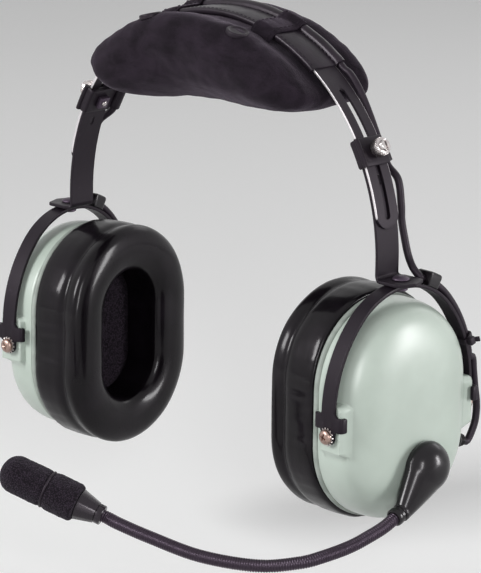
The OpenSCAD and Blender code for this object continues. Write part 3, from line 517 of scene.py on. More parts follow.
def cut(thing, tools):
    for tool in tools:
        modify(thing, "BOOLEAN", operation="DIFFERENCE", object=tool, solver="EXACT")
        plain(thing)
        bpy.data.objects.remove(tool)
    return thing


def give(thing, finish):
    """Every face of the piece takes one finish."""
    thing.data.materials.clear()
    thing.data.materials.append(LOOKS[finish].material)
    thing.data.polygons.foreach_set("material_index", [0] * len(thing.data.polygons))
    return thing


def piece(thing, body, finish, stands_for, angle=35.0):
    smooth(thing, angle)
    give(thing, finish)
    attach(thing, body)
    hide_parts(stands_for)
    return thing


def grid_faces(rows, columns, wrap_rows=False):
    """Faces between rows of points, each row closed round."""
    faces = []
    for i in range(rows if wrap_rows else rows - 1):
        for j in range(columns):
            a, b = i * columns + j, i * columns + (j + 1) % columns
            c, d = ((i + 1) % rows) * columns + (j + 1) % columns, ((i + 1) % rows) * columns + j
            faces.append((a, b, c, d))
    return faces


def rod_faces(rows, n):
    """Faces of a solid rod: rows of n points, and its two ends."""
    last = (rows - 1) * n
    return grid_faces(rows, n) + [tuple(range(n)), tuple(range(last + n - 1, last - 1, -1))]


def tube_faces(rows, n):
    """Faces of a tube with a wall: each row is n outer points and then n inner ones."""
    faces = []
    for a in range(0, (rows - 1) * 2 * n, 2 * n):
        b = a + 2 * n
        for k in range(n):
            j = (k + 1) % n
            faces += [(a + k, a + j, b + j, b + k), (a + n + j, a + n + k, b + n + k, b + n + j)]
    for a in (0, (rows - 1) * 2 * n):
        faces += [(a + k, a + (k + 1) % n, a + n + (k + 1) % n, a + n + k) for k in range(n)]
    return faces


def box(name, xs, ys, zs):
    """A block between pairs of limits."""
    points = [(x, y, z) for x in xs for y in ys for z in zs]
    faces = [(0, 1, 3, 2), (4, 6, 7, 5), (0, 4, 5, 1), (2, 3, 7, 6), (0, 2, 6, 4), (1, 5, 7, 3)]
    return clean(to_object(name, points, faces))


def eased(points, spacing, passes, closed=False):
    """Even points along a polyline, with its corners rounded by averaging."""
    p = np.array(points, float)
    if closed:
        p = np.vstack([p, p[:1]])
    step = np.linalg.norm(np.diff(p, axis=0), axis=1)
    along = np.concatenate([[0], np.cumsum(step)])
    n = max(4, int(round(along[-1] / spacing)))
    at = np.linspace(0, along[-1], n + 1)
    q = np.stack([np.interp(at, along, p[:, k]) for k in range(p.shape[1])], axis=1)
    if closed:
        q = q[:-1]
    for _ in range(passes):
        if closed:
            q = (np.roll(q, 1, 0) + 2 * q + np.roll(q, -1, 0)) / 4
        else:
            q[1:-1] = (q[:-2] + 2 * q[1:-1] + q[2:]) / 4
    return q


def spline(points, per_span):
    """A smooth line through the points."""
    p = [np.array(q, float) for q in points]
    p = [2 * p[0] - p[1], *p, 2 * p[-1] - p[-2]]
    out = []
    for a, b, c, d in zip(p, p[1:], p[2:], p[3:]):
        for t in np.arange(per_span) / per_span:
            bow, turn = 2 * a - 5 * b + 4 * c - d, 3 * b - a - 3 * c + d
            out.append(0.5 * (2 * b + (c - a) * t + bow * t**2 + turn * t**3))
    out.append(p[-2])
    return np.array(out)


def lathe(name, profile, steps=48, spin=None):
    """Turns (radius, height) points about Z. spin changes a radius by its angle and height."""
    points = []
    for r, z in profile:
        for k in range(steps):
            a = 2 * math.pi * k / steps
            q = spin(r, z, a) if spin else r
            points.append((q * math.cos(a), q * math.sin(a), z))
    thing = to_object(name, points, grid_faces(len(profile), steps))
    b = edit(thing)
    b.verts.ensure_lookup_table()
    for ring, flip in ((0, True), (len(profile) - 1, False)):
        if profile[ring][0] > 1e-6:
            corner = [b.verts[ring * steps + k] for k in range(steps)]
            b.faces.new(corner[::-1] if flip else corner)
    return clean(done(b, thing))


def sweep(name, path, section, up):
    """Draws a section of (side, up) points along a path, and closes its ends."""
    path = np.array(path, float)
    ahead = np.gradient(path, axis=0)
    ahead /= np.linalg.norm(ahead, axis=1)[:, None]
    side = np.cross(ahead, np.array(up, float))
    side /= np.linalg.norm(side, axis=1)[:, None]
    rise = np.cross(side, ahead)
    points = [p + (u * side[i] + v * rise[i]) for i, p in enumerate(path) for u, v in section]
    return clean(to_object(name, points, rod_faces(len(path), len(section))))


def circle(r, n):
    return [(r * math.cos(2 * math.pi * k / n), r * math.sin(2 * math.pi * k / n)) for k in range(n)]


def rounded_box(w, h, r, n):
    """Corners of a rounded rectangle about the origin."""
    out = []
    x, y = w / 2 - r, h / 2 - r
    for cx, cy, start in ((x, y, 0), (-x, y, 90), (-x, -y, 180), (x, -y, 270)):
        out += arc_points(cx, cy, r, start, start + 90, n)
    return out


def arc_points(cx, cy, r, start, stop, n):
    angles = [math.radians(start + (stop - start) * k / n) for k in range(n + 1)]
    return [(cx + r * math.cos(a), cy + r * math.sin(a)) for a in angles]


def round_hole(x, r):
    return arc_points(x, 0, r, 0, 345, 23)


def oval(a, b, r, n):
    """Two half circles about places along a strip, a before b, and the straights between."""
    return arc_points(b, 0, r, -90, 90, n) + arc_points(a, 0, r, 90, 270, n)


def turns(start, stop, step):
    """Angles in radians, from degrees."""
    return [math.radians(a) for a in range(start, stop, step)]


def rounded_loop(corners, n=5):
    """A closed outline of (x, y, radius) corners, each with its own rounding."""
    out = []
    count = len(corners)
    for i, (x, y, r) in enumerate(corners):
        p = Vector((x, y))
        before, after = Vector(corners[i - 1][:2]) - p, Vector(corners[(i + 1) % count][:2]) - p
        if r <= 0:
            out.append((x, y))
            continue
        half = before.angle(after) / 2
        reach = min(r / math.tan(half), 0.49 * before.length, 0.49 * after.length)
        start, end = p + before.normalized() * reach, p + after.normalized() * reach
        for k in range(n + 1):
            t = k / n
            out.append(tuple((1 - t) ** 2 * start + 2 * t * (1 - t) * p + t * t * end))
    return out


def score(b, axis, places):
    """Cuts a mesh across an axis at each place, so that it can bend there."""
    for place in places:
        at, normal = Vector(), Vector()
        at[axis], normal[axis] = place * MM, 1
        bmesh.ops.bisect_plane(b, geom=b.verts[:] + b.edges[:] + b.faces[:], plane_co=at, plane_no=normal)


def bent(b, thing, bend):
    """Moves each point by bend(length, width, height) and closes the edit."""
    for v in b.verts:
        v.co = Vector(bend(v.co.x / MM, v.co.y / MM, v.co.z / MM)) * MM
    return clean(done(b, thing), 0.0005)


def strip(name, loops, thickness, bend, places, edge=0.2):
    """A stamped strip: flat outlines in (length, width), the first outside and the rest holes,
    with rounded edges, cut across at the places and then bent."""
    curve = bpy.data.curves.new(name, "CURVE")
    curve.dimensions, curve.fill_mode = "2D", "BOTH"
    curve.extrude = (thickness / 2 - edge) * MM
    curve.bevel_depth, curve.bevel_resolution, curve.offset = edge * MM, 1, -edge * MM
    for loop in loops:
        add_line(curve, [(x, y, 0) for x, y in loop]).use_cyclic_u = True
    thing = plain(link(name, curve))
    b = edit(thing)
    bmesh.ops.remove_doubles(b, verts=b.verts, dist=1e-7)
    score(b, 0, places)
    return bent(b, thing, bend)


def stadium(name, profile, length, arc, straight, shape, loop=False):
    """Turns (radius, depth) points round a stadium, with depth along X and its long way along Z.
    shape moves a point: it takes and gives (x, y, z), with the direction that the point faces."""
    stations = []
    for end in (1, -1):
        angles = [(0 if end == 1 else math.pi) + math.pi * k / arc for k in range(arc)]
        stations += [(math.cos(a), math.sin(a), end * length) for a in angles]
        stations += [(-end, 0.0, end * length * (1 - 2 * k / straight)) for k in range(straight)]
    points = []
    for r, x in profile:
        for dy, dz, cz in stations:
            p = (x, r * dy, cz + r * dz + CUP_UP)
            points.append(shape(p, (dy, dz)))
    return clean(to_object(name, points, grid_faces(len(profile), len(stations), wrap_rows=loop)))


def on_side(side):
    return Matrix.Diagonal((side, 1, 1, 1))


def on_cup(side):
    return on_side(side) @ Matrix.Translation((YOKE_X, 0, 0)) @ Matrix.Rotation(math.radians(-TOE), 4, "Z")


def towards(at, direction):
    """A frame at a point whose Z runs along a direction."""
    m = Vector(direction).to_track_quat("Z", "Y").to_matrix().to_4x4()
    m.translation = Vector(at)
    return m


def on_arch(side, phi, radius):
    """A frame on the arch: Z points outwards, Y to the back."""
    a = math.radians(phi)
    out, back = Vector((math.cos(a), 0, math.sin(a))), Vector((0, 1, 0))
    return on_side(side) @ frame_of(back.cross(out), back, out, Vector((0, 0, ARCH_Z)) + radius * out)


def arch(radius, phi, y):
    a = math.radians(phi)
    return (radius * math.cos(a), y, ARCH_Z + radius * math.sin(a))


# ---------------------------------------------------------------- shapes that repeat, as Geometry Nodes


class Tree:
    """A Geometry Nodes tree with named inputs."""

    def __init__(self, name, **sizes):
        self.group = bpy.data.node_groups.new(name, "GeometryNodeTree")
        face = self.group.interface
        face.new_socket("Geometry", in_out="INPUT", socket_type="NodeSocketGeometry")
        face.new_socket("Geometry", in_out="OUTPUT", socket_type="NodeSocketGeometry")
        self.names = {}
        for key, value in sizes.items():
            kind = "NodeSocketInt" if isinstance(value, int) else "NodeSocketFloat"
            socket = face.new_socket(key, in_out="INPUT", socket_type=kind)
            socket.default_value = value
            self.names[key] = socket.identifier
        self.start = self.group.nodes.new("NodeGroupInput")

    def add(self, kind, settings=None, sockets=None):
        node = self.group.nodes.new(kind)
        for key, value in (settings or {}).items():
            setattr(node, key, value)
        for key, value in (sockets or {}).items():
            if isinstance(value, bpy.types.NodeSocket):
                self.group.links.new(value, node.inputs[key])
            else:
                node.inputs[key].default_value = value
        return node

    def size(self, name):
        return self.start.outputs[name]

    def math(self, operation, *values):
        return self.add("ShaderNodeMath", {"operation": operation}, dict(enumerate(values))).outputs[0]

    def even(self, gap):
        """The curve that comes in, with a point at every gap."""
        sockets = {"Curve": self.size("Geometry"), "Length": gap}
        return self.add("GeometryNodeResampleCurve", {"mode": "LENGTH"}, sockets).outputs[0]

    def drawn(self, curve, **more):
        """A closed round rod along a curve."""
        sockets = {"Radius": self.size("radius"), "Resolution": self.size("sides")}
        ring = self.add("GeometryNodeCurvePrimitiveCircle", {}, sockets).outputs[0]
        sockets = {"Curve": curve, "Profile Curve": ring, "Fill Caps": True, **more}
        return self.add("GeometryNodeCurveToMesh", {}, sockets).outputs[0]

    def finish(self, geometry, finish):
        real = self.add("GeometryNodeRealizeInstances", {}, {"Geometry": geometry}).outputs[0]
        sockets = {"Geometry": real, "Material": LOOKS[finish].material}
        coated = self.add("GeometryNodeSetMaterial", {}, sockets)
        end = self.group.nodes.new("NodeGroupOutput")
        self.group.links.new(coated.outputs[0], end.inputs[0])
        return self

    def run(self, base, **sizes):
        """Runs the tree on an object and gives a plain mesh object."""
        modifier = base.modifiers.new(self.group.name, "NODES")
        modifier.node_group = self.group
        for key, value in sizes.items():
            modifier[self.names[key]] = value
        return plain(base)


def line_object(name, paths):
    """Curves through points in millimetres."""
    curve = bpy.data.curves.new(name, "CURVE")
    curve.dimensions = "3D"
    for path in paths:
        add_line(curve, path)
    return link(name, curve)


def round_tree():
    """A round lead drawn along a curve, of even thickness."""
    t = Tree("round_lead", radius=0.00175, gap=0.0012, sides=20)
    return t.finish(t.drawn(t.even(t.size("gap"))), "lead_jacket")


def ribbed_tree(finish):
    """A ribbed tube: the radius rises and falls with the distance along the curve."""
    t = Tree("ribbed_" + finish, radius=0.003, depth=0.0004, pitch=0.0011, sides=24)
    steps = 6
    index = t.add("GeometryNodeInputIndex").outputs[0]
    wave = t.math("SINE", t.math("MULTIPLY", index, 2 * math.pi / steps))
    lift = t.math("POWER", t.math("ABSOLUTE", t.math("MULTIPLY", t.math("ADD", wave, 1.0), 0.5)), 0.6)
    share = t.math("DIVIDE", t.size("depth"), t.size("radius"))
    groove = t.math("MULTIPLY", t.math("SUBTRACT", 1.0, lift), share)
    even = t.even(t.math("DIVIDE", t.size("pitch"), float(steps)))
    return t.finish(t.drawn(even, Scale=t.math("SUBTRACT", 1.0, groove)), finish)


def stitch_tree():
    """A row of sewn stitches: a small round bar at every pitch, along the curve."""
    t = Tree("stitches", pitch=0.0024, length=0.0017, radius=0.00022)
    sockets = {"Curve": t.size("Geometry"), "Length": t.size("pitch")}
    even = t.add("GeometryNodeCurveToPoints", {"mode": "LENGTH"}, sockets)
    bar = t.add("GeometryNodeMeshUVSphere", {}, {"Segments": 8, "Rings": 6, "Radius": 1.0})
    half = t.math("MULTIPLY", t.size("length"), 0.5)
    scale = t.add("ShaderNodeCombineXYZ", {}, {"X": t.size("radius"), "Y": t.size("radius"), "Z": half})
    sockets = {"Points": even.outputs["Points"], "Instance": bar.outputs["Mesh"],
               "Rotation": even.outputs["Rotation"], "Scale": scale.outputs[0]}
    return t.finish(t.add("GeometryNodeInstanceOnPoints", {}, sockets).outputs[0], "thread_black")


def ridge_tree(finish):
    """Ridges such as a knurl or the teeth of a washer: one bar at each of count places on a circle."""
    t = Tree("ridges_" + finish, count=30, radius=0.0042, wide=0.0006, deep=0.0006, tall=0.004, twist=0.0)
    sockets = {"Vertices": t.size("count"), "Radius": t.size("radius")}
    ring = t.add("GeometryNodeMeshCircle", {"fill_type": "NONE"}, sockets).outputs[0]
    block = t.add("ShaderNodeCombineXYZ", {}, {"X": t.size("deep"), "Y": t.size("wide"), "Z": t.size("tall")})
    bar = t.add("GeometryNodeMeshCube", {}, {"Size": block.outputs[0]}).outputs["Mesh"]
    index = t.add("GeometryNodeInputIndex").outputs[0]
    turn = t.math("MULTIPLY", index, t.math("DIVIDE", 2 * math.pi, t.size("count")))
    angles = t.add("ShaderNodeCombineXYZ", {}, {"X": t.size("twist"), "Z": turn}).outputs[0]
    sockets = {"Points": ring, "Instance": bar, "Rotation": angles}
    return t.finish(t.add("GeometryNodeInstanceOnPoints", {}, sockets).outputs[0], finish)


ROUND, STITCH = round_tree(), stitch_tree()
RIBBED = ribbed_tree("gooseneck_black")
RIDGES = {finish: ridge_tree(finish) for finish in ("knob_chrome", "washer_steel")}


def empty_mesh(name):
    return link(name, bpy.data.meshes.new(name))


# ---------------------------------------------------------------- head band


def band_bend(s, w, n):
    """s runs from the crown towards the wearer's left, at mid thickness."""
    return arch(BAND_MID + n, 90 - math.degrees(s / BAND_MID), w)


def make_spring():
    half = BAND_MID * math.radians(90 - TIP)
    w, slot_r, step = BAND_W / 2, 1.6, 2.0
    near, far = BAND_MID * math.radians(44), BAND_MID * math.radians(90 - TIP - 3.4)
    loops = [oval(-half + w, half - w, w, 20), oval(near, far, slot_r, 10), oval(-far, -near, slot_r, 10)]
    places = np.arange(step - half, half - step / 2, step)
    thing = strip("spring_band", loops, BAND_T, band_bend, places)
    piece(thing, "headband", "band_steel", "headband_spring")


def sleeve_section():
    """Outline of the flat sleeve with its bead, as (radius, y)."""
    inner, outer, front, back = SLEEVE_IN, SLEEVE_OUT, SLEEVE_FRONT, LEAD_Y - 2.45
    low = [(inner, front + 0.9), (inner + 0.35, front + 0.25), (inner + 1.1, front),
           (outer - 1.1, front), (outer - 0.35, front + 0.25), (outer, front + 0.9)]
    neck = [(outer, back - 1.2), (outer - 0.1, back - 0.3)]
    bead = [(LEAD_R + BEAD_R * math.cos(a), LEAD_Y + BEAD_R * math.sin(a)) for a in turns(-62, 184, 12)]
    return low + neck + bead


def stitches(name, paths, length, radius):
    """Rows of stitches on the head band, with a stitch's length and radius in metres."""
    rows = STITCH.run(line_object(name, paths), pitch=0.0026, length=length, radius=radius)
    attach(smooth(rows, 60), "headband")


def make_sleeve():
    section = sleeve_section()
    points, rows = [], 120
    for i in range(rows + 1):
        phi = 90 - SLEEVE_SPAN + 2 * SLEEVE_SPAN * i / rows
        pull = 0.12 * math.sin(i * 0.9) + 0.1 * math.sin(i * 0.37 + 1)
        edge = 0.25 * max(0, 1 - min(i, rows - i) / 3) ** 2
        for r, y in section:
            soft = noise.noise(Vector((phi * 0.22, y * 0.25, 3))) * 0.16
            # the underside stays even
            points.append(arch(r + (soft + 0.1 * pull) - edge if r > BAND_R + 1 else r, phi, y))
    thing = clean(to_object("vinyl_sleeve", points, rod_faces(rows + 1, len(section))))
    piece(thing, "headband", "sleeve_vinyl", "band_sleeve", 50)
    # stitches beside the bead and along the front edge
    angles = np.linspace(90 - SLEEVE_SPAN + 1.5, 90 + SLEEVE_SPAN - 1.5, 80)
    edges = (-BAND_W / 2 - 0.2, BAND_W / 2 - 0.9)
    paths = [[arch(SLEEVE_OUT + 0.06, phi, y) for phi in angles] for y in edges]
    stitches("sleeve_stitches", paths, 0.0019, 0.00022)


def pad_ends(a, sharp):
    """Share of a size that is left at a degrees from the crown, nothing at the pad's ends."""
    return max(0.0, 1 - (abs(a) / (PAD_SPAN + 1)) ** sharp) ** 0.5


def pad_row(a, inset):
    """Section of the pad at a degrees from the crown, as (y, radius)."""
    # the stuffing has settled towards the wearer's right
    full, taper, thick = (11, 0.27, 9) if a < 0 else (6, 0.58, 4)
    half = PAD_FLAT + (PAD_HALF - PAD_FLAT) * pad_ends(a, full)
    grow = half - PAD_FLAT
    level = math.cos(math.radians(min(abs(a), PAD_LEVEL)))
    depth = (PAD_TOP - (PAD_TOP - PAD_THICK) / level) * pad_ends(a, 14)
    depth *= 1 - taper * (max(0, abs(a) - PAD_LEVEL) / (PAD_SPAN - PAD_LEVEL)) ** 1.9
    roll = PAD_ROLL * pad_ends(a, thick)
    # (y, share of the depth, share of the roll)
    rows = [(PAD_FLAT - 1, 0, 0), (PAD_FLAT + 0.08 * grow, 0, 0.5), (PAD_FLAT + 0.22 * grow, 0, 0.88),
            (PAD_FLAT + PAD_ROLL_TOP * grow, 0, 1), (PAD_FLAT + 0.64 * grow, 0.02, 0.8),
            (PAD_FLAT + 0.84 * grow, 0.1, 0.3), (PAD_FLAT + 0.96 * grow, 0.26, 0), (half, 0.45, 0),
            (half - 0.05 * grow, 0.66, 0), (half - 0.25 * grow, 0.83, 0), (half - 0.6 * grow, 0.94, 0),
            (PAD_FLAT * 0.5, 1, 0)]
    k = 1 - inset / max(half, 1)
    side = [(y * k, PAD_TOP - inset * (1 - 2 * t) + roll * u - depth * t) for y, t, u in rows]
    return side + [(-y, r) for y, r in side[::-1]]


def places_of(thing):
    return np.array([v.co for v in thing.data.vertices])


def swell(thing):
    """Blows a cushion up by inner pressure."""
    last = 20
    cloth = thing.modifiers.new("cloth", "CLOTH")
    settings = cloth.settings
    settings.quality, settings.use_pressure, settings.uniform_pressure_force = 6, True, 4
    settings.tension_stiffness = settings.compression_stiffness = 22
    settings.bending_stiffness = 2.2
    settings.effector_weights.gravity = 0
    cloth.point_cache.frame_start, cloth.point_cache.frame_end = 1, last
    for f in range(1, last + 1):
        bpy.context.scene.frame_set(f)
    plain(thing)
    bpy.context.scene.frame_set(1)


def make_pad():
    steps, inset, voxel, most_move = 40, 1.2, 0.0042, 0.004
    points = []
    for i in range(steps + 1):
        a = (PAD_SPAN - 0.6) * math.sin(math.pi / 2 * (2 * i / steps - 1))
        across, up = math.sin(math.radians(a)), math.cos(math.radians(a))
        points += [(r * across, y, ARCH_Z + r * up) for y, r in pad_row(a, inset)]
    thing = clean(to_object("pad_cushion", points, rod_faces(steps + 1, len(pad_row(0, 0)))))
    modify(thing, "REMESH", mode="VOXEL", voxel_size=voxel)
    plain(thing)
    start = places_of(thing)
    swell(thing)
    move = places_of(thing) - start
    size = np.linalg.norm(move, axis=1)
    now = start + move * np.minimum(1, most_move / np.maximum(size, 1e-9))[:, None]
    keep_pad_clear(now)
    thing.data.vertices.foreach_set("co", now.ravel())
    modify(thing, "SUBSURF", levels=2, render_levels=2)
    plain(thing)
    now = places_of(thing)
    # soft folds of the cover
    for k, v in enumerate(thing.data.vertices):
        x, y, z = now[k] / MM
        fold = noise.noise(Vector((x * 0.045, y * 0.07, z * 0.05))) * 0.9
        fold += noise.noise(Vector((x * 0.14, y * 0.1, z * 0.13))) * 0.3
        now[k] += np.array(v.normal) * fold * MM
    keep_pad_clear(now)
    thing.data.vertices.foreach_set("co", now.ravel())
    thing.data.update()
    piece(thing, "headband", "pad_velour", "head_pad", 180)
    return thing


def keep_pad_clear(points):
    """Holds the pad's top under the sleeve, which reaches 11.9 to each side of its middle with its bead."""
    middle, reach, fade = 1.6, 11.9, 3.5
    for p in points:
        x, y, z = p[0] / MM, p[1] / MM, p[2] / MM - ARCH_Z
        r = math.hypot(x, z)
        t = min(1, max(0, (abs(y - middle) - reach) / fade))
        most = SLEEVE_IN - 0.35 + 30 * t * t
        if r > most and z > 0:
            p[0], p[2] = x * most / r * MM, (ARCH_Z + z * most / r) * MM


def keeper_section(grow):
    """Outline of a keeper over the sleeve, from the front to the back, as (radius, y)."""
    inner, outer, front, back = SLEEVE_IN, SLEEVE_OUT, SLEEVE_FRONT, LEAD_Y + BEAD_R
    bead = LEAD_R + BEAD_R
    points = [(inner - 2.2, front - 3.6 - grow), (inner - 0.6, front - 1.2 - grow),
              (outer - 0.8, front - 0.5 - grow), (outer + 0.2 + grow, front + 1.2), (outer + 0.3 + grow, 0),
              (outer + 0.3 + grow, BAND_W / 2 - 1.5), (LEAD_R + BEAD_R * 0.5 + grow, LEAD_Y - BEAD_R - 0.4),
              (bead + 0.3 + grow, LEAD_Y - 0.8), (bead + 0.2 + grow, LEAD_Y + 0.9),
              (LEAD_R + 0.4, back + 0.4 + grow), (inner - 0.4, back + 1.0 + grow),
              (inner - 2.2, back + 3.2 + grow)]
    return eased(points, 0.6, 3)


def make_keepers():
    half, rows = math.degrees(6.5 / 103.5), 22
    outer, inner = keeper_section(1.15), keeper_section(0.0)[::-1]
    loop = np.vstack([outer, inner])
    n, m = len(loop), len(outer)
    # the inner point that lies behind each outer one
    behind = [max(m, n - 1 - int(k * (n - m - 1) / (m - 1))) for k in range(m)]
    faces = grid_faces(rows + 1, n)
    for first in (0, rows * n):
        for k in range(m - 1):
            corners = dict.fromkeys((k, k + 1, behind[k + 1], behind[k]))
            faces.append([first + c for c in corners])
    for side, name in SIDES:
        mid = 90 - side * 17.5
        points = []
        for i in range(rows + 1):
            phi = mid - half + 2 * half * i / rows
            edge = max(0, 1 - min(i, rows - i) / 3)
            puff = 0.25 * math.sin(math.pi * i / rows) - 0.35 * edge * edge
            for k, (r, y) in enumerate(loop):
                wave = noise.noise(Vector((phi * 0.5, y * 0.3, side))) * 0.14
                points.append(arch(r + (puff if k < m else 0) + wave, phi, y))
        thing = clean(to_object("pad_keeper_" + name, points, faces))
        piece(thing, "headband", "pad_velour", "pad_keepers", 60)
        paths = [[arch(r + 0.25, mid + e * (half - 1.0), y) for r, y in outer[4:-4]] for e in (-1, 1)]
        stitches("keeper_stitches_" + name, paths, 0.0018, 0.00024)


def make_snaps(pad):
    """A cap sits where the line down its middle meets the cushion."""
    faces = [tuple(f.vertices) for f in pad.data.polygons]
    skin = BVHTree.FromPolygons([v.co for v in pad.data.vertices], faces)
    y, above, sunk = PAD_FLAT + PAD_ROLL_TOP * (PAD_HALF - PAD_FLAT) * 0.98, 6.0, 0.45
    profile = [(0, 0.55), (2.4, 0.5), (3.4, 0.55), (4.1, 0.95), (4.7, 1.25), (5.2, 1.05), (5.45, 0.6),
               (5.3, -1.1), (4.6, -1.5), (0, -1.5)]
    for side, name in SIDES:
        start = on_arch(1, 90 - side * 16, PAD_TOP + PAD_ROLL + above) @ Matrix.Translation((0, -y, 0))
        drop = skin.ray_cast(start.translation * MM, -start.col[2].to_3d())[3] / MM
        cap = lathe("snap_cap_" + name, eased(profile, 0.22, 2), 56)
        turned(cap, start @ Matrix.Translation((0, 0, -drop - sunk)))
        piece(cap, "headband", "snap_enamel", "pad_snaps", 50)


# ---------------------------------------------------------------- slide arms and clamps


def arm_bend(s, w, n):
    """s runs down the arm from its top end, round the bend and out along the foot."""
    r, foot = ARM_BEND, FOOT_Z + FOOT_T / 2
    arc, down = ARM_MID * math.radians(ARM_TOP), ARCH_Z - foot - r
    if s < arc:
        return arch(ARM_MID + n, ARM_TOP - math.degrees(s / ARM_MID), w)
    s -= arc
    if s < down:
        return (ARM_MID + n, w, ARCH_Z - s)
    s -= down
    if s < r * math.pi / 2:
        a = s / r
        return (ARM_MID + r - (r - n) * math.cos(a), w, foot + r - (r - n) * math.sin(a))
    return (ARM_MID + r + s - r * math.pi / 2, w, foot + n)


def arm_length(x):
    """Strip length at which the foot reaches x."""
    r = ARM_BEND
    straight = ARM_MID * math.radians(ARM_TOP) + ARCH_Z - FOOT_Z - FOOT_T / 2 - r
    return straight + r * math.pi / 2 + x - ARM_MID - r


def make_arm(side, name):
    w, foot_w = BAND_W / 2, 9
    wide, bulge, end = arm_length(ARM_OUT + 2.6), arm_length(YOKE_X + 6), arm_length(YOKE_X + 9.5)
    half = [(0, w, 1.5), (wide - 3.5, w, 3), (wide, foot_w, 2.2), (bulge, foot_w, 3)]
    outline = rounded_loop([(x, -y, r) for x, y, r in half] + [(end, 0, 2.5)] + half[::-1])
    rivet, screw = arm_length(YOKE_X), ARM_MID * math.radians(CLAMP_TURN)
    stop = ARM_MID * math.radians(2 * CLAMP_TURN + 3.5)
    holes = [round_hole(rivet, 2.02), round_hole(screw, 1.5), oval(stop - 1.2, stop + 1.2, 1, 8)]
    knee = arm_length(ARM_MID)
    places = [*np.arange(1.5, knee - 8, 1.5), *np.arange(knee - 7.5, arm_length(ARM_MID + 3), 0.4)]
    thing = strip("slide_arm_" + name, [outline, *holes], ARM_T, arm_bend, places)
    piece(turned(thing, on_side(side)), name + "_arm", "black_steel", name + "_slide_arm")


def lead_loop(at, inner):
    """The short tube that holds the lead, and its web to the clamp box."""
    thick, half, n = 0.8, 5.25, 36
    points = []
    for r in (LOOP_BORE, LOOP_BORE + thick):
        for x in (-half, half):
            points += [(x, LOOP_Y + v, u) for u, v in circle(r, n)]
    faces = []
    for k in range(n):
        j = (k + 1) % n
        for a, b in ((0, n), (2 * n, 3 * n), (0, 2 * n), (n, 3 * n)):
            faces.append((a + k, a + j, b + j, b + k))
    loop = clean(to_object("loop", points, faces))
    web = box("web", (-half, half), (inner, LOOP_Y - LOOP_BORE - 0.1), (0.1, 1.9))
    return bevelled(turned(loop, at), 0.25), bevelled(turned(web, at), 0.2)


def make_clamp(side, name):
    body = name + "_arm"
    half, wall = BAND_W / 2 + SLIDE, CLAMP_WALL
    low, high = ARM_OUT - ARM_T - 0.05, BAND_OUT + 0.3
    outer = rounded_box(high - low + 2 * wall, 2 * (half + wall), 1.3, 6)
    inner = rounded_box(high - low, 2 * half, 0.4, 6)
    centre = (high + low) / 2
    rows, points = 14, []
    for i in range(rows + 1):
        phi = CLAMP - CLAMP_TURN + 2 * CLAMP_TURN * i / rows
        edge = 0.3 if i in (0, rows) else 0.0
        points += [arch(centre + u * (1 - edge / 3), phi, v * (1 - edge / 9)) for u, v in outer]
        points += [arch(centre + u, phi, v) for u, v in inner]
    folded = clean(to_object("clamp_box_" + name, points, tube_faces(rows + 1, len(outer))))
    # the rolled lip that stiffens the front edge of the outer plate
    angles = [CLAMP - CLAMP_TURN + 2 * CLAMP_TURN * k / 16 for k in range(17)]
    path = [arch(high + wall - 0.5, phi, -half - wall + 0.2) for phi in angles]
    lip = sweep("lip", path, circle(1.15, 20), (0, 1, 0))
    loop, web = lead_loop(on_arch(1, CLAMP, LOOP_R), half + wall - 0.6)
    block = joined("clamp_block_" + name, [bevelled(folded, 0.22, 50), lip, loop, web])
    hole = turned(lathe("hole", [(1.5, -6), (1.5, 6)], 32), on_arch(1, CLAMP, BAND_R + 1))
    piece(turned(cut(block, [hole]), on_side(side)), body, "black_steel", name + "_clamp_block")
    nut = bevelled(box("clamp_nut_" + name, (-3, 3), (-3, 3), (-NUT_T, 0)), 0.35)
    at = on_side(side) @ on_arch(1, CLAMP, low - wall - 0.15)
    piece(turned(nut, at), body, "rivet_steel", name + "_clamp_nut")
    make_clamp_screw(side, name, high + wall + 0.1)


def make_clamp_screw(side, name, under):
    """under is the radius at which the knob's foot starts."""
    low = ARM_OUT - ARM_T - CLAMP_WALL - NUT_T - 0.8
    profile = [(0, low), (1.1, low), (1.45, low + 0.35), (1.45, under), (2.75, under), (3, under + 0.2),
               (3, under + 1.5), (3.9, under + 1.5), (4.1, under + 1.75), (4.1, under + 5.8),
               (3.85, under + 6.1), (2.75, under + 6.1), (2.7, under + 7.5), (2.5, under + 7.7),
               (0, under + 7.7)]
    slot = box("slot", (-5, 5), (-0.55, 0.55), (under + 6.6, under + 9))
    core = bevelled(cut(lathe("core", profile, 64), [slot]), 0.12, 40)
    rows = RIDGES["knob_chrome"].run(empty_mesh("knurl"), count=34, radius=0.0041, wide=0.00042, deep=0.00042,
                                     tall=0.0036)
    rows = bevelled(turned(rows, Matrix.Translation((0, 0, under + 3.8))), 0.1)
    screw = turned(joined("clamp_screw_" + name, [core, rows]), on_side(side) @ on_arch(1, CLAMP, 0))
    piece(screw, name + "_clamp_knob", "knob_chrome", name + "_clamp_screw")


def make_swivel_rivet(side, name):
    low, top = STIRRUP_TOP - STIRRUP_T / 2 - 0.25, FOOT_Z + FOOT_T + 0.1
    shank, head, crown = 1.85, 4, 1.5
    profile = [(0, low - 1.2), (2.6, low - 1.2), (3.15, low - 0.8), (3.2, low - 0.2), (3.1, low),
               (shank, low), (shank, top), (3.8, top), (head, top + 0.3)]
    profile += [(head * math.cos(a), top + 0.3 + crown * math.sin(a)) for a in turns(10, 75, 10)]
    profile.append((0, top + 1.8))
    at = on_side(side) @ Matrix.Translation((YOKE_X, 0, 0))
    rivet = turned(lathe("swivel_rivet_" + name, profile, 48), at)
    piece(rivet, name + "_arm", "rivet_steel", name + "_swivel_rivet")


# ---------------------------------------------------------------- stirrups


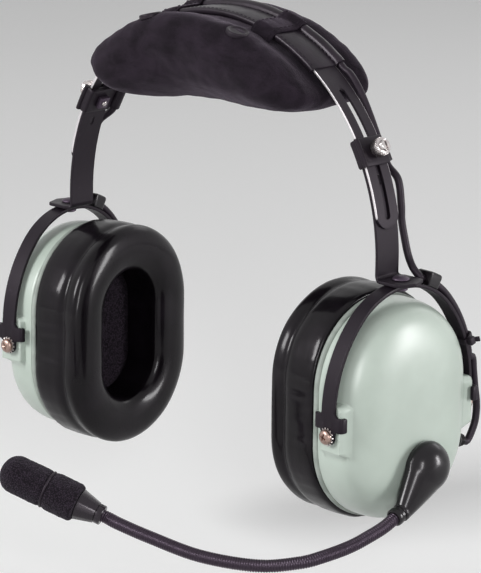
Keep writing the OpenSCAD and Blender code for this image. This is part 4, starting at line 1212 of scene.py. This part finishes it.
def stirrup_line(s):
    """Point and outward normal of the stirrup, in its own plane, s along it from the crown."""
    sign = 1 if s >= 0 else -1
    s = abs(s)
    if s < CROWN_RUN:
        a = math.radians(90) - s / CROWN_R
        p, n = (CROWN_R * math.cos(a), CROWN_Z + CROWN_R * math.sin(a)), (math.cos(a), math.sin(a))
    elif s < CROWN_RUN + SIDE_RUN:
        a = math.radians(JOIN) - (s - CROWN_RUN) / SIDE_R
        p, n = (SIDE_R * math.cos(a) - SIDE_C, LEG_UP + SIDE_R * math.sin(a)), (math.cos(a), math.sin(a))
    else:
        p, n = (STIRRUP_HALF, LEG_UP - (s - CROWN_RUN - SIDE_RUN)), (1, 0)
    return (sign * p[0], p[1]), (sign * n[0], n[1])


def stirrup_bend(s, w, n):
    """w runs outwards across the strap; past the T-bar's corner it turns in towards the cup."""
    corner, r = 7.0, 1.0
    x, drop = w, 0.0
    over = abs(w) - corner
    if over > 0:
        sign = 1 if w > 0 else -1
        a = min(over / r, math.pi / 2)
        x = sign * (corner + (r + n) * math.sin(a))
        drop = r - (r + n) * math.cos(a) + max(0, over - r * math.pi / 2)
        n = 0
    p, normal = stirrup_line(s)
    return (x, p[0] + normal[0] * (n - drop), p[1] + normal[1] * (n - drop))


def make_stirrup(side, name):
    w, leg = STIRRUP_W / 2, STIRRUP_LEG
    low, high = leg - 9.6, leg - 2.8
    out, head, foot = 10.7, 9.5, 4
    end = [(low - 1.2, w, 1.5), (low, w + 1.2, 0), (low, out, 0.9), (high, out, 0.9), (high, w + 1, 0),
           (high + 1, w, 1.2)]
    end += [(leg + foot * math.sin(a), foot * math.cos(a), 0) for a in turns(0, 181, 12)]
    end += [(high + 1, -w, 1.2), (high, -w - 1, 0), (high, -head, 0.6), (low, -head, 0.6), (low, -w - 1.2, 0),
            (low - 1.2, -w, 1.5)]
    outline = rounded_loop(end + [(-x, y, r) for x, y, r in end[::-1]], 4)
    holes = [round_hole(x, 2.05) for x in (0, leg, -leg)]
    flat = strip("stirrup_" + name, [outline, *holes], STIRRUP_T, lambda s, w, n: (s, w, n), [], 0.25)
    b = edit(flat)
    score(b, 0, np.arange(-leg + 10, leg - 9.9, 1.2))
    for e in (1, -1):
        score(b, 1, [e * y for y in (7.0, 7.25, 7.5, 7.8, 8.1, 8.35, 8.6)])
    thing = bent(b, flat, stirrup_bend)
    piece(turned(thing, on_cup(side)), name + "_yoke", "black_steel", name + "_stirrup")


def crown_point(offset, a):
    a = math.radians(a)
    return ((CROWN_R + offset) * math.cos(a), CROWN_Z + (CROWN_R + offset) * math.sin(a))


def side_point(offset, a):
    a = math.radians(a)
    return ((SIDE_R + offset) * math.cos(a) - SIDE_C, LEG_UP + (SIDE_R + offset) * math.sin(a))


def make_lead_clip(side, name):
    """A moulded saddle that holds the lead on the strap."""
    base, top, half = STIRRUP_T / 2 + PLAY, 7.6, 4.6
    section = rounded_loop([(-half, base, 0.3), (half, base, 0.3), (half, top, 1.2), (-half, top, 1.2)], 5)
    rows, points = 24, []
    for i in range(rows + 1):
        a = 70 - 10 * i / rows
        edge = max(0, 1 - min(i, rows - i) / 3) ** 2
        for u, v in section:
            q = crown_point(v - 0.5 * edge * (v - base) / 6.7, a)
            points.append((u * (1 - 0.06 * edge), *q))
    clip = clean(to_object("lead_clip_" + name, points, rod_faces(rows + 1, len(section))))
    path = [(0, *crown_point(LEAD_OFF, 72 - 14 * k / 20)) for k in range(21)]
    clip = cut(clip, [sweep("tool", path, circle(LEAD_D / 2 + PLAY, 28), (1, 0, 0))])
    piece(turned(clip, on_cup(side)), name + "_yoke", "boot_rubber", name + "_lead_clip")


def make_lead_tie(side, name):
    """A cable tie: a thin band pulled round strap and lead, with its lock and tail."""
    at, wide, thick = 20, 2.7, 0.8
    low, mid = -STIRRUP_T / 2 - PLAY, STIRRUP_T / 2
    top, half = LEAD_OFF + LEAD_D / 2 + PLAY, STIRRUP_W / 2 + PLAY
    inner = rounded_loop([(-half, low, 0.5), (half, low, 0.5), (half, mid + 0.1, 0.8), (1.9, top - 0.1, 1.6),
                          (-1.9, top - 0.1, 1.6), (-half, mid + 0.1, 0.8)], 5)
    away = np.array(inner) - np.mean(np.array(inner), axis=0)
    outer = np.array(inner) + thick * away / np.linalg.norm(away, axis=1)[:, None]
    rows, points = 8, []
    for i in range(rows + 1):
        a = at - wide / 2 + wide * i / rows
        edge = 0.12 if i in (0, rows) else 0.0
        for ring, shrink in ((outer, edge), (inner, 0)):
            points += [(u * (1 - shrink / 4), *side_point(v - shrink * (v - 1) / 4, a)) for u, v in ring]
    band = clean(to_object("band", points, tube_faces(rows + 1, len(inner))))
    across, turn = Vector((1, 0, 0)), math.radians(at)
    normal, run = Vector((0, math.cos(turn), math.sin(turn))), Vector((0, -math.sin(turn), math.cos(turn)))
    place = Vector((half + 1.5, *side_point(mid + 0.6, at)))
    lock = bevelled(box("lock", (-1.5, 1.5), (-1.9, 1.9), (-1.5, 1.5)), 0.4, segments=3)
    turned(lock, frame_of(across, run, normal, place))
    tail = bevelled(box("tail", (0, 3.2), (-1.2, 1.2), (-0.4, 0.4)), 0.15)
    ahead, rise = 0.8 * across + 0.6 * normal, 0.8 * normal - 0.6 * across
    turned(tail, frame_of(ahead, run, rise, place + 0.4 * across + normal))
    tie = joined("lead_tie_" + name, [band, lock, tail])
    piece(turned(tie, on_cup(side)), name + "_yoke", "tie_nylon", name + "_lead_tie")


# ---------------------------------------------------------------- crossover lead


def lead(name, path, body, node, blend_to=None):
    """blend_to is the second body, and the points where the lead leaves the first and reaches it; these are
    not used, and a lead given blend_to is attached to no body.
    """
    thing = ROUND.run(line_object(name, [path]))
    clean(thing, 0.0005)
    smooth(thing, 50)
    if blend_to:
        second, start, end = blend_to
        tuple(c * MM for c in start)
        tuple(c * MM for c in end)
        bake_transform(thing)
    else:
        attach(thing, body)
    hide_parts(node)


def shown(matrix, points):
    return [tuple(matrix @ Vector(p)) for p in points]


# Points of the loose lead: (radius beyond the band's, y, angle) on the arch, and offsets from the foot plate
DROP_ARCH = [(2.7, 10, 50), (1.7, 10.3, 45.5), (-0.6, 10.7, 39.6)]
DROP_HANG = {"left": [(1.5, 10.7, 20.2), (0.4, 10.7, 14), (-0.7, 10.8, 9.8)],
             "right": [(3.2, 10.4, 19), (5.4, 10, 13.4), (6.6, 9.8, 7.4)]}
DROP_FOOT = {"left": [(-0.5, 11.6, 16.6), (0.8, 12, 11.2), (2.8, 11.8, 7.2), (5.6, 11.4, 4)],
             "right": [(7, 10, 12.6), (7.8, 10.6, 7.2)]}
# Points of its last stretch, in the cup's frame
TAIL = [(0, 48.2, 20.6), (-0.1, 49.2, 14.4), (-0.2, 50.6, 6), (-0.3, 52, -0.8), (-0.4, 52.3, -6.6),
        (-0.5, 51.2, -12.6)]


def make_leads(side, name):
    body, arm, yoke, cup = "headband", name + "_arm", name + "_yoke", name + "_cup"
    mirror, cup_frame, yoke_frame = on_side(side), on_cup(side), on_cup(1)
    start = [arch(LEAD_R, a, LEAD_Y) for a in (57, 55.4, 53.9, 52.1)]
    start += [arch(BAND_R + r, a, y) for r, y, a in DROP_ARCH]
    slope = math.radians(CLAMP)
    along = 7.02 * Vector((-math.sin(slope), 0, math.cos(slope)))
    loop = [tuple(Vector(arch(LOOP_R, CLAMP, LOOP_Y)) + k * along) for k in (1, 0, -1)]
    hang = [arch(BAND_R + r, a, y) for r, y, a in DROP_HANG[name]]
    hang += [(ARM_OUT + x, y, FOOT_Z + z) for x, y, z in DROP_FOOT[name]]
    clip = shown(yoke_frame, [(0, *crown_point(LEAD_OFF, 90 - a)) for a in (17.7, 18.9, 23, 27)])
    whole, middle = spline(start + loop + hang + clip, 10), 10 * (len(start) + 1)
    upper, lower = shown(mirror, whole[:middle + 1]), shown(mirror, whole[middle:])
    lead("lead_drop_upper_" + name, upper, body, name + "_lead_drop", (arm, upper[30], upper[-11]))
    lead("lead_drop_lower_" + name, lower, arm, name + "_lead_drop", (yoke, lower[12], lower[-20]))
    run = [(0, *crown_point(LEAD_OFF, 90 - a)) for a in np.linspace(26, 90 - JOIN, 24)]
    run += [(0, *side_point(LEAD_OFF, a)) for a in np.linspace(JOIN - 2, 19.7, 10)]
    lead("lead_run_" + name, shown(cup_frame, run), yoke, name + "_lead_run")
    back, up = math.cos(GROMMET_TURN), math.sin(GROMMET_TURN)
    enter = [(-0.5, r * back, CUP_UP - DOME_L + r * up) for r in (DOME_R + 9, DOME_R + 5, DOME_R + 1)]
    leave = [(0, *side_point(LEAD_OFF, a)) for a in (20.3, 16, 12.6, 10.5)]
    tail = shown(cup_frame, spline(leave + TAIL + enter, 10))
    lead("lead_tail_" + name, tail, yoke, name + "_lead_tail", (cup, tail[34], tail[-24]))
    if side > 0:
        inside = [arch(LEAD_R, 90 + a, LEAD_Y) for a in np.linspace(-SLEEVE_SPAN + 1, SLEEVE_SPAN - 1, 90)]
        lead("lead_in_band", inside, body, "lead_in_band")


# ---------------------------------------------------------------- ear cups


def seal_profile():
    mid, reach = (SEAL_R + SEAL_BORE) / 2, (SEAL_R - SEAL_BORE) / 2
    face, base = SEAL_FACE, SEAL_DEPTH
    points = [(mid + reach * math.cos(a), face + 5.7 * (1 - math.sin(a))) for a in turns(0, 181, 6)]
    points += [(SEAL_BORE, face + base - 3.5), (SEAL_BORE + 1.8, face + base), (SEAL_R - 1, face + base)]
    # (how far in from the rim, share of the depth), with the groove of the seam
    outside = [(0.3, 0.9), (0, 0.74), (0, 0.52), (0.6, 0.43), (1.8, 0.375), (0.6, 0.32)]
    points += [(SEAL_R - inward, face + share * base) for inward, share in outside]
    return eased(points, 0.8, 3, closed=True)


def make_seal(side, name):
    def soft(p, d):
        x, y, z = p
        deep = (x - SEAL_FACE) / SEAL_DEPTH
        swollen = noise.noise(Vector((x * 0.07, y * 0.05 + side * 7, z * 0.05))) * 0.35
        pleat = noise.noise(Vector((x * 0.05, y * 0.3, z * 0.3 + side * 3))) * 0.28
        k = swollen + pleat * min(1, max(0, deep * 3 - 0.8))
        return (x + (0.4 * k if deep < 0.3 else 0), y + d[0] * k, z + d[1] * k)

    thing = stadium("ear_seal_" + name, seal_profile(), SEAL_L, 64, 36, soft, loop=True)
    piece(turned(thing, on_cup(side)), name + "_cup", "seal_vinyl", name + "_ear_seal", 180)


def make_liner(side, name):
    r, back = SEAL_BORE - 0.35, PLATE_X - PLAY
    front = back - 10

    def soft(p, d):
        x, y, z = p
        if x >= back - 3:
            return p
        lift = noise.noise(Vector((y * 0.16, z * 0.16, side * 5))) * 0.9
        lift += 0.5 * math.sin(y * 0.55) * math.sin(z * 0.55)
        out = min(1, math.hypot(y, max(0, abs(z - CUP_UP) - SEAL_L)) / r)
        return (x + lift * (1 - out ** 6), y, z)

    profile = [(0, front - 1.2), (r * 0.35, front - 1.2), (r * 0.7, front - 0.9), (r * 0.92, front + 0.4),
               (r, front + 2.4), (r, back - 3), (r - 1, back), (0, back)]
    profile = eased(profile, 1.0, 2)
    profile[0][0] = profile[-1][0] = 0
    thing = stadium("foam_liner_" + name, profile, SEAL_L, 36, 30, soft)
    piece(turned(thing, on_cup(side)), name + "_cup", "liner_foam", name + "_foam_liner", 180)


def make_plate(side, name):
    r, length, inner, round_off = DOME_R + 0.6, DOME_L + 0.4, SEAL_BORE - 2, 0.9
    near, far = PLATE_X, PLATE_X + PLATE_T
    rim = [(inner, near + 0.3), (inner + 0.4, near), (r - round_off, near), (r, near + round_off),
           (r, far - round_off), (r - round_off, far), (inner + 0.4, far), (inner, far - 0.3)]

    def shape(p, d):
        # the opening's two arcs have their centres further apart than the rim's
        x, y, z = p
        end = (d[1] > 0) - (d[1] < 0)
        out = math.hypot(y, z - CUP_UP - end * length) if abs(d[1]) > 1e-9 else abs(y)
        t = min(1, max(0, (r - out) / (r - inner)))
        return (x, y, z + (SEAL_L - length) * t * (end or (z - CUP_UP) / length))

    rim = eased(rim, 0.45, 1, closed=True)
    thing = stadium("seal_plate_" + name, rim, length, 48, 24, shape, loop=True)
    piece(turned(thing, on_cup(side)), name + "_cup", "plate_grey", name + "_seal_plate", 50)


def smoothstep(low, high, v):
    t = min(1, max(0, (v - low) / (high - low)))
    return t * t * (3 - 2 * t)


def dome_radius(x, r, depth):
    return r * max(0.0, 1 - min(1.0, max(0.0, (x - DOME_X) / depth)) ** DOME_N) ** (1 / DOME_N)


def dome_profile(r, depth, spacing):
    t = np.radians(np.linspace(0, 90, 721))
    q = np.stack([r * np.cos(t) ** (2 / DOME_N), DOME_X + depth * np.sin(t) ** (2 / DOME_N)], axis=1)
    q[-1, 0] = 0
    along = np.concatenate([[0], np.cumsum(np.linalg.norm(np.diff(q, axis=0), axis=1))])
    at, places = 0.0, []
    while at < along[-1] - 0.3:
        places.append(at)
        at += spacing if at < 22 else spacing * 1.8
    places.append(along[-1])
    return np.stack([np.interp(places, along, q[:, k]) for k in range(2)], axis=1)


def make_dome(side, name):
    # the raised pad under the pivot screw
    half_x, half_z, corner, mid_z = 6.5, 12.15, 3.0, 2.15
    in_r, in_depth = DOME_R - DOME_WALL, DOME_DEPTH - DOME_WALL

    def raised(p, d):
        x, y, z = p
        from_axis = math.hypot(y, max(0, abs(z - CUP_UP) - DOME_L))
        middle = (dome_radius(x, in_r, in_depth) + dome_radius(x, DOME_R, DOME_DEPTH)) / 2
        if x < DOME_X + 0.3 or abs(d[0]) < 0.5 or abs(y) < 25 or from_axis < middle:
            return p
        qx, qz = abs(x) - half_x + corner, abs(z - mid_z) - half_z + corner
        away = math.hypot(max(qx, 0), max(qz, 0)) + min(max(qx, qz), 0) - corner
        k = 1 - smoothstep(-0.3, 0.35, away)
        sign = 1 if y > 0 else -1
        return (x, sign * (abs(y) + (PIVOT_FACE - abs(y)) * k), z)

    outer = dome_profile(DOME_R, DOME_DEPTH, 0.55)
    inner = dome_profile(in_r, in_depth, 1.6)[::-1]
    rim = [(DOME_R - 0.25, DOME_X)]
    thing = stadium("dome_" + name, np.vstack([inner, rim, outer[1:]]), DOME_L, 48, 52, raised)
    piece(turned(thing, on_cup(side)), name + "_cup", "dome_green", name + "_dome", 60)


def pivot_screw(name):
    """A domed head with a cross slot, on a shank that ends inside the dome."""
    tip, rim, up = DOME_R - DOME_WALL - 3 + 0.4, 3.36, HEAD_Y + 0.75
    profile = [(0, tip), (1.2, tip), (1.5, tip + 0.5), (1.5, PIVOT_FACE), (2, PIVOT_FACE + 0.02),
               (2, HEAD_Y - 0.02), (3.1, HEAD_Y), (3.4, HEAD_Y + 0.25), (rim, up)]
    profile += [(rim * math.cos(a) ** 0.7, up + 1.4 * math.sin(a)) for a in turns(12, 90, 9)]
    profile.append((0, HEAD_Y + 2.16))
    head = lathe(name, profile, 56)
    long, wide = 1.75, 0.36
    corners = [(-long, -wide), (long, -wide), (long, wide), (-long, wide)]
    points = [(x * k, y * k, z) for z, k in ((up, 0.55), (HEAD_Y + 3, 1.35)) for x, y in corners]
    faces = [(0, 3, 2, 1), (4, 5, 6, 7), (0, 1, 5, 4), (1, 2, 6, 5), (2, 3, 7, 6), (3, 0, 4, 7)]
    bars = [turned(clean(to_object("bar", points, faces)), Matrix.Rotation(math.radians(turn), 4, "Z"))
            for turn in (20, 110)]
    return bevelled(cut(head, bars), 0.08, 40)


def toothed_washer(name):
    bore, out, low, thick = 2.06, 3.4, WASHER_Y, 0.5
    profile = [(bore, low), (out, low), (out + 0.1, low + thick / 2), (out, low + thick), (bore, low + thick),
               (bore, low)]
    ring = lathe("ring", profile, 48)
    teeth = RIDGES["washer_steel"].run(empty_mesh("teeth"), count=14, radius=0.0037, wide=0.0008, deep=0.0011,
                                       tall=0.0004, twist=0.35)
    turned(teeth, Matrix.Translation((0, 0, low + thick / 2)))
    return joined(name, [clean(ring), bevelled(teeth, 0.08)])


def make_pivots(side, name):
    for leg, word in ((1, "rear"), (-1, "front")):
        at = on_cup(side) @ Matrix.Diagonal((1, leg, 1, 1)) @ Matrix.Rotation(math.radians(-90), 4, "X")
        screw = pivot_screw("pivot_screw_%s_%s" % (word, name))
        washer = toothed_washer("pivot_washer_%s_%s" % (word, name))
        piece(turned(screw, at), name + "_cup", "screw_copper", name + "_pivot_screws", 40)
        piece(turned(washer, at), name + "_cup", "washer_steel", name + "_pivot_washers", 40)


def make_grommet(side, name):
    at = on_cup(side) @ Matrix.Translation((-0.5, 0, CUP_UP - DOME_L))
    at = at @ Matrix.Rotation(GROMMET_TURN, 4, "X") @ Matrix.Rotation(math.radians(-90), 4, "X")
    bore, low, base = 1.86, DOME_R - 4, DOME_R + 0.25
    profile = [(bore, low), (2.5, low), (2.5, base), (3.9, base), (4.0, base + 0.4), (3.7, base + 1.0)]
    for k in range(4):
        z, r = base + 1.2 + 0.9 * k, 3.55 - 0.22 * k
        profile += [(r - 0.35, z), (r, z + 0.25), (r, z + 0.5), (r - 0.35, z + 0.72)]
    profile += [(2.3, base + 4.9), (bore, base + 4.9), (bore, low)]
    grommet = turned(lathe("grommet_" + name, profile, 48), at)
    piece(grommet, name + "_cup", "boot_rubber", name + "_grommet", 40)


# ---------------------------------------------------------------- boom


def ball(name, at, size):
    mesh = bpy.data.meshes.new(name)
    b = bmesh.new()
    bmesh.ops.create_icosphere(b, subdivisions=4, radius=1)
    m = Matrix.Translation(Vector(at) * MM) @ Matrix.Diagonal((size[0] * MM, size[1] * MM, size[2] * MM, 1))
    bmesh.ops.transform(b, matrix=m, verts=b.verts)
    b.to_mesh(mesh)
    b.free()
    return link(name, mesh)


def make_boot():
    """A drop-shaped moulded boot whose tail bends down to the gooseneck's collar."""
    x0, voxel = BOOT_X, 0.00055
    profile = [(0, x0), (12.1, x0), (12.5, x0 + 0.5), (12.45, x0 + 1.6), (12.0, x0 + 3.4), (10.9, x0 + 5.6),
               (9.1, x0 + 7.7), (6.6, x0 + 9.3), (3.6, x0 + 10.2), (0, x0 + 10.4)]
    disc = lathe("disc", eased(profile, 0.8, 1), 64)
    outwards = frame_of((0, 0, -1), (0, 1, 0), (1, 0, 0), (0, BOOM_Y, BOOM_Z))
    parts = [turned(disc, outwards)]
    start, end = Vector((x0 + 1.6, BOOM_Y, BOOM_Z)), COLLAR_AT - 3.4 * COLLAR_DIR
    (thick, wide), (tail_thick, tail_wide), last = (8.4, 12.2), (4.2, 4.25), 45
    for k in range(last + 1):
        t = k / last
        at = start.lerp(end + 2.2 * t * COLLAR_DIR, t)
        r = wide + (tail_wide - wide) * (0.9 * t + 0.1 * t * t)
        parts.append(ball("bead", at, (thick + (tail_thick - thick) * t, r, r)))
    thing = joined("boom_boot", parts)
    modify(thing, "REMESH", mode="VOXEL", voxel_size=voxel)
    plain(thing)
    modify(thing, "SMOOTH", factor=0.6, iterations=14)
    plain(thing)
    b = edit(thing)
    for v in b.verts:
        v.co.x = max(v.co.x, (x0 + 0.02) * MM)
    done(b, thing)
    piece(turned(thing, on_cup(1)), "boom", "boot_rubber", "boom_boot", 60)
    bore, r, thick = 2.55, 11, BASE_T
    profile = [(bore, 0), (r - 0.3, 0), (r, 0.3), (r, thick - 0.3), (r - 0.3, thick), (bore, thick)]
    place = Matrix.Translation((BASE_X, BOOM_Y, BOOM_Z)) @ Matrix.Rotation(math.radians(90), 4, "Y")
    base = turned(lathe("boom_base", [*profile, profile[0]], 64), on_cup(1) @ place)
    piece(base, "left_cup", "inner_plastic", "boom_base")


def make_collar():
    bore = 3.25
    profile = [(bore, -1), (4.1, -1), (4.3, -0.7), (4.3, 0.9), (4.1, 1.2), (3.75, 1.3), (3.75, 2.6),
               (4.0, 2.8), (4.15, 3.1), (4.15, 5.2), (3.95, 5.7), (3.6, 5.8), (bore, 5.8), (bore, -1)]
    thing = lathe("boom_collar", profile, 48)
    piece(turned(thing, on_cup(1) @ towards(COLLAR_AT, COLLAR_DIR)), "boom", "boot_rubber", "boom_collar", 40)


def make_gooseneck():
    points = [COLLAR_AT - 0.6 * COLLAR_DIR, COLLAR_AT + 2.8 * COLLAR_DIR, *BOOM_ROUTE]
    points += [MIC_AT - 6 * MIC_DIR, MIC_AT + MIC_DIR]
    path = shown(on_cup(1), spline(points, 14))
    thing = RIBBED.run(line_object("gooseneck", [path]), radius=0.003, depth=0.00042, pitch=0.00115, sides=20)
    clean(thing, 0.0005)
    piece(thing, "boom", "gooseneck_black", "boom_gooseneck", 60)


def make_mic():
    at = on_cup(1) @ towards(MIC_AT, MIC_DIR)
    cone = [(3.3, -3.0), (4.3, -3.0), (4.6, -2.7), (4.6, -0.4), (4.4, 0.0), (4.9, 0.3), (7.0, 8.4),
            (7.25, 9.0), (6.6, 9.2), (6.0, 9.3), (6.0, 27.6), (5.6, 28), (4.9, 28), (4.9, 23), (3.3, 1.5),
            (3.3, -3.0)]

    def faceted(r, z, a):
        # twelve flats round the cone
        if not 0.2 < z < 9.1 or r < 4.6:
            return r
        step = math.radians(30)
        flat = math.cos(step / 2) / math.cos((a % step) - step / 2)
        return r * (0.35 + 0.65 * flat * 1.02)

    body = lathe("mic_housing", cone, 120, faceted)
    piece(turned(body, at), "boom", "mic_black", "mic_housing", 30)
    disc = [(0, 23.2), (4.8, 23.2), (4.85, 23.5), (4.85, 27.9), (4.6, 28.1), (1.0, 28.1), (1.0, 27.4),
            (0, 27.4)]
    piece(turned(lathe("mic_element", disc, 48), at), "boom", "speaker_metal", "mic_element", 40)
    make_windscreen(at)


def make_windscreen(at):
    r, bore, start, length, groove = 8.7, 6.15, 9.5, 38.7, 25
    # (share of the radius, height), with the groove that holds the ring
    side = [(0.9, start), (0.99, start + 0.8), (1.03, start + 2.5), (1.03, groove - 3), (1.01, groove - 1.6),
            (0.94, groove - 0.6), (0.94, groove + 0.6), (1.0, groove + 1.6), (1.01, groove + 4)]
    outer = [(bore, start + 0.2)] + [(r * k, z) for k, z in side]
    outer += [(r * math.cos(a), start + length - r * 0.85 * (1 - math.sin(a))) for a in turns(0, 86, 8)]
    outer = eased(outer + [(0, start + length)], 0.45, 3)
    outer[-1][0] = 0
    inner = [(0, 30.6), (5.6, 30.5), (bore, 29.5)]

    def crumbly(q, z, a):
        if q < 6.4 and z < start + length - 8:
            return q
        p = Vector((q * math.cos(a), q * math.sin(a), z))
        return q + noise.noise(p * 0.9) * 0.2 + noise.noise(p * 2.3) * 0.12

    foam = lathe("windscreen_foam", np.vstack([inner, outer]), 110, crumbly)
    piece(turned(foam, at), "boom", "wind_foam", "mic_windscreen", 180)
    thick, out = 0.55, r * 0.93 + 0.25
    section = [(out + thick * math.cos(a), groove + thick * math.sin(a)) for a in turns(0, 361, 24)]
    ring = lathe("windscreen_ring", section, 64)
    piece(turned(ring, at), "boom", "ring_rubber", "mic_windscreen_ring", 60)


# ---------------------------------------------------------------- what stays as the frame gives it

KEPT = {"baffle": "inner_plastic", "speaker": "speaker_metal", "dome_foam": "liner_foam"}


def finish_kept():
    for side, name in SIDES:
        for word, finish in KEPT.items():
            give(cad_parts[name + "_" + word], finish)
    for name in ("boom_stud", "boom_nut"):
        give(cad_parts[name], "plain_steel")


def make_stage():
    far = 3000
    corners = [(x, y, FLOOR_Z) for x, y in ((-far, -far), (far, -far), (far, far), (-far, far))]
    floor = to_object("floor", corners, [(0, 1, 2, 3)])
    m = Look("stage_paper", Specular_IOR_Level=0.2, Roughness=0.8)
    bounced = m.add("ShaderNodeLightPath").val("Is Diffuse Ray")
    paper = m.blend(m.noise(400, 2), grey(0.8), grey(0.84))
    m.set("Base Color", m.blend(bounced, paper, grey(0.35)))
    m.set("Emission Color", m.blend(bounced, grey(0.2), grey(0.0))).set("Emission Strength", 1.0)
    floor.data.materials.append(m.material)
    make_world()
    area_light("key", (-0.75, -1.75, 0.95), (0, 0, 0.05), (0.7, 0.7), 34)
    area_light("side", (1.35, -1.1, 0.45), (0, 0, 0.02), (0.28, 0.8), 11)
    area_light("rear_side", (1.4, 0.85, 0.3), (0, 0, 0), (0.25, 0.8), 15)
    area_light("back", (-0.2, 1.6, 1.0), (0, 0, 0.08), (1.2, 0.5), 3)
    bpy.context.scene.view_settings.view_transform = "Standard"


def make_world():
    """Soft light all round, and a brighter backdrop for the camera and for what shines."""
    world = bpy.data.worlds.new("studio")
    bpy.context.scene.world = world
    world.use_nodes = True
    tree = world.node_tree
    tree.nodes.clear()
    path, mix = tree.nodes.new("ShaderNodeLightPath"), tree.nodes.new("ShaderNodeMixShader")
    seen_by = path.outputs["Is Camera Ray"]
    for ray in ("Is Glossy Ray", "Is Transmission Ray"):
        either = tree.nodes.new("ShaderNodeMath")
        either.operation = "MAXIMUM"
        tree.links.new(seen_by, either.inputs[0])
        tree.links.new(path.outputs[ray], either.inputs[1])
        seen_by = either.outputs[0]
    tree.links.new(seen_by, mix.inputs[0])
    for socket, shade, strength in ((1, 1, 0.15), (2, 0.92, 1.0)):
        light = tree.nodes.new("ShaderNodeBackground")
        light.inputs["Color"].default_value = (shade, shade, shade, 1)
        light.inputs["Strength"].default_value = strength
        tree.links.new(light.outputs[0], mix.inputs[socket])
    tree.links.new(mix.outputs[0], tree.nodes.new("ShaderNodeOutputWorld").inputs["Surface"])


def main():
    set_camera()
    make_stage()
    make_spring()
    make_sleeve()
    pad = make_pad()
    make_keepers()
    make_snaps(pad)
    paired = (make_arm, make_clamp, make_swivel_rivet, make_stirrup, make_lead_clip, make_lead_tie,
              make_leads, make_seal, make_liner, make_plate, make_dome, make_pivots, make_grommet)
    for side, name in SIDES:
        for make in paired:
            make(side, name)
    make_boot()
    make_collar()
    make_gooseneck()
    make_mic()
    finish_kept()


main()
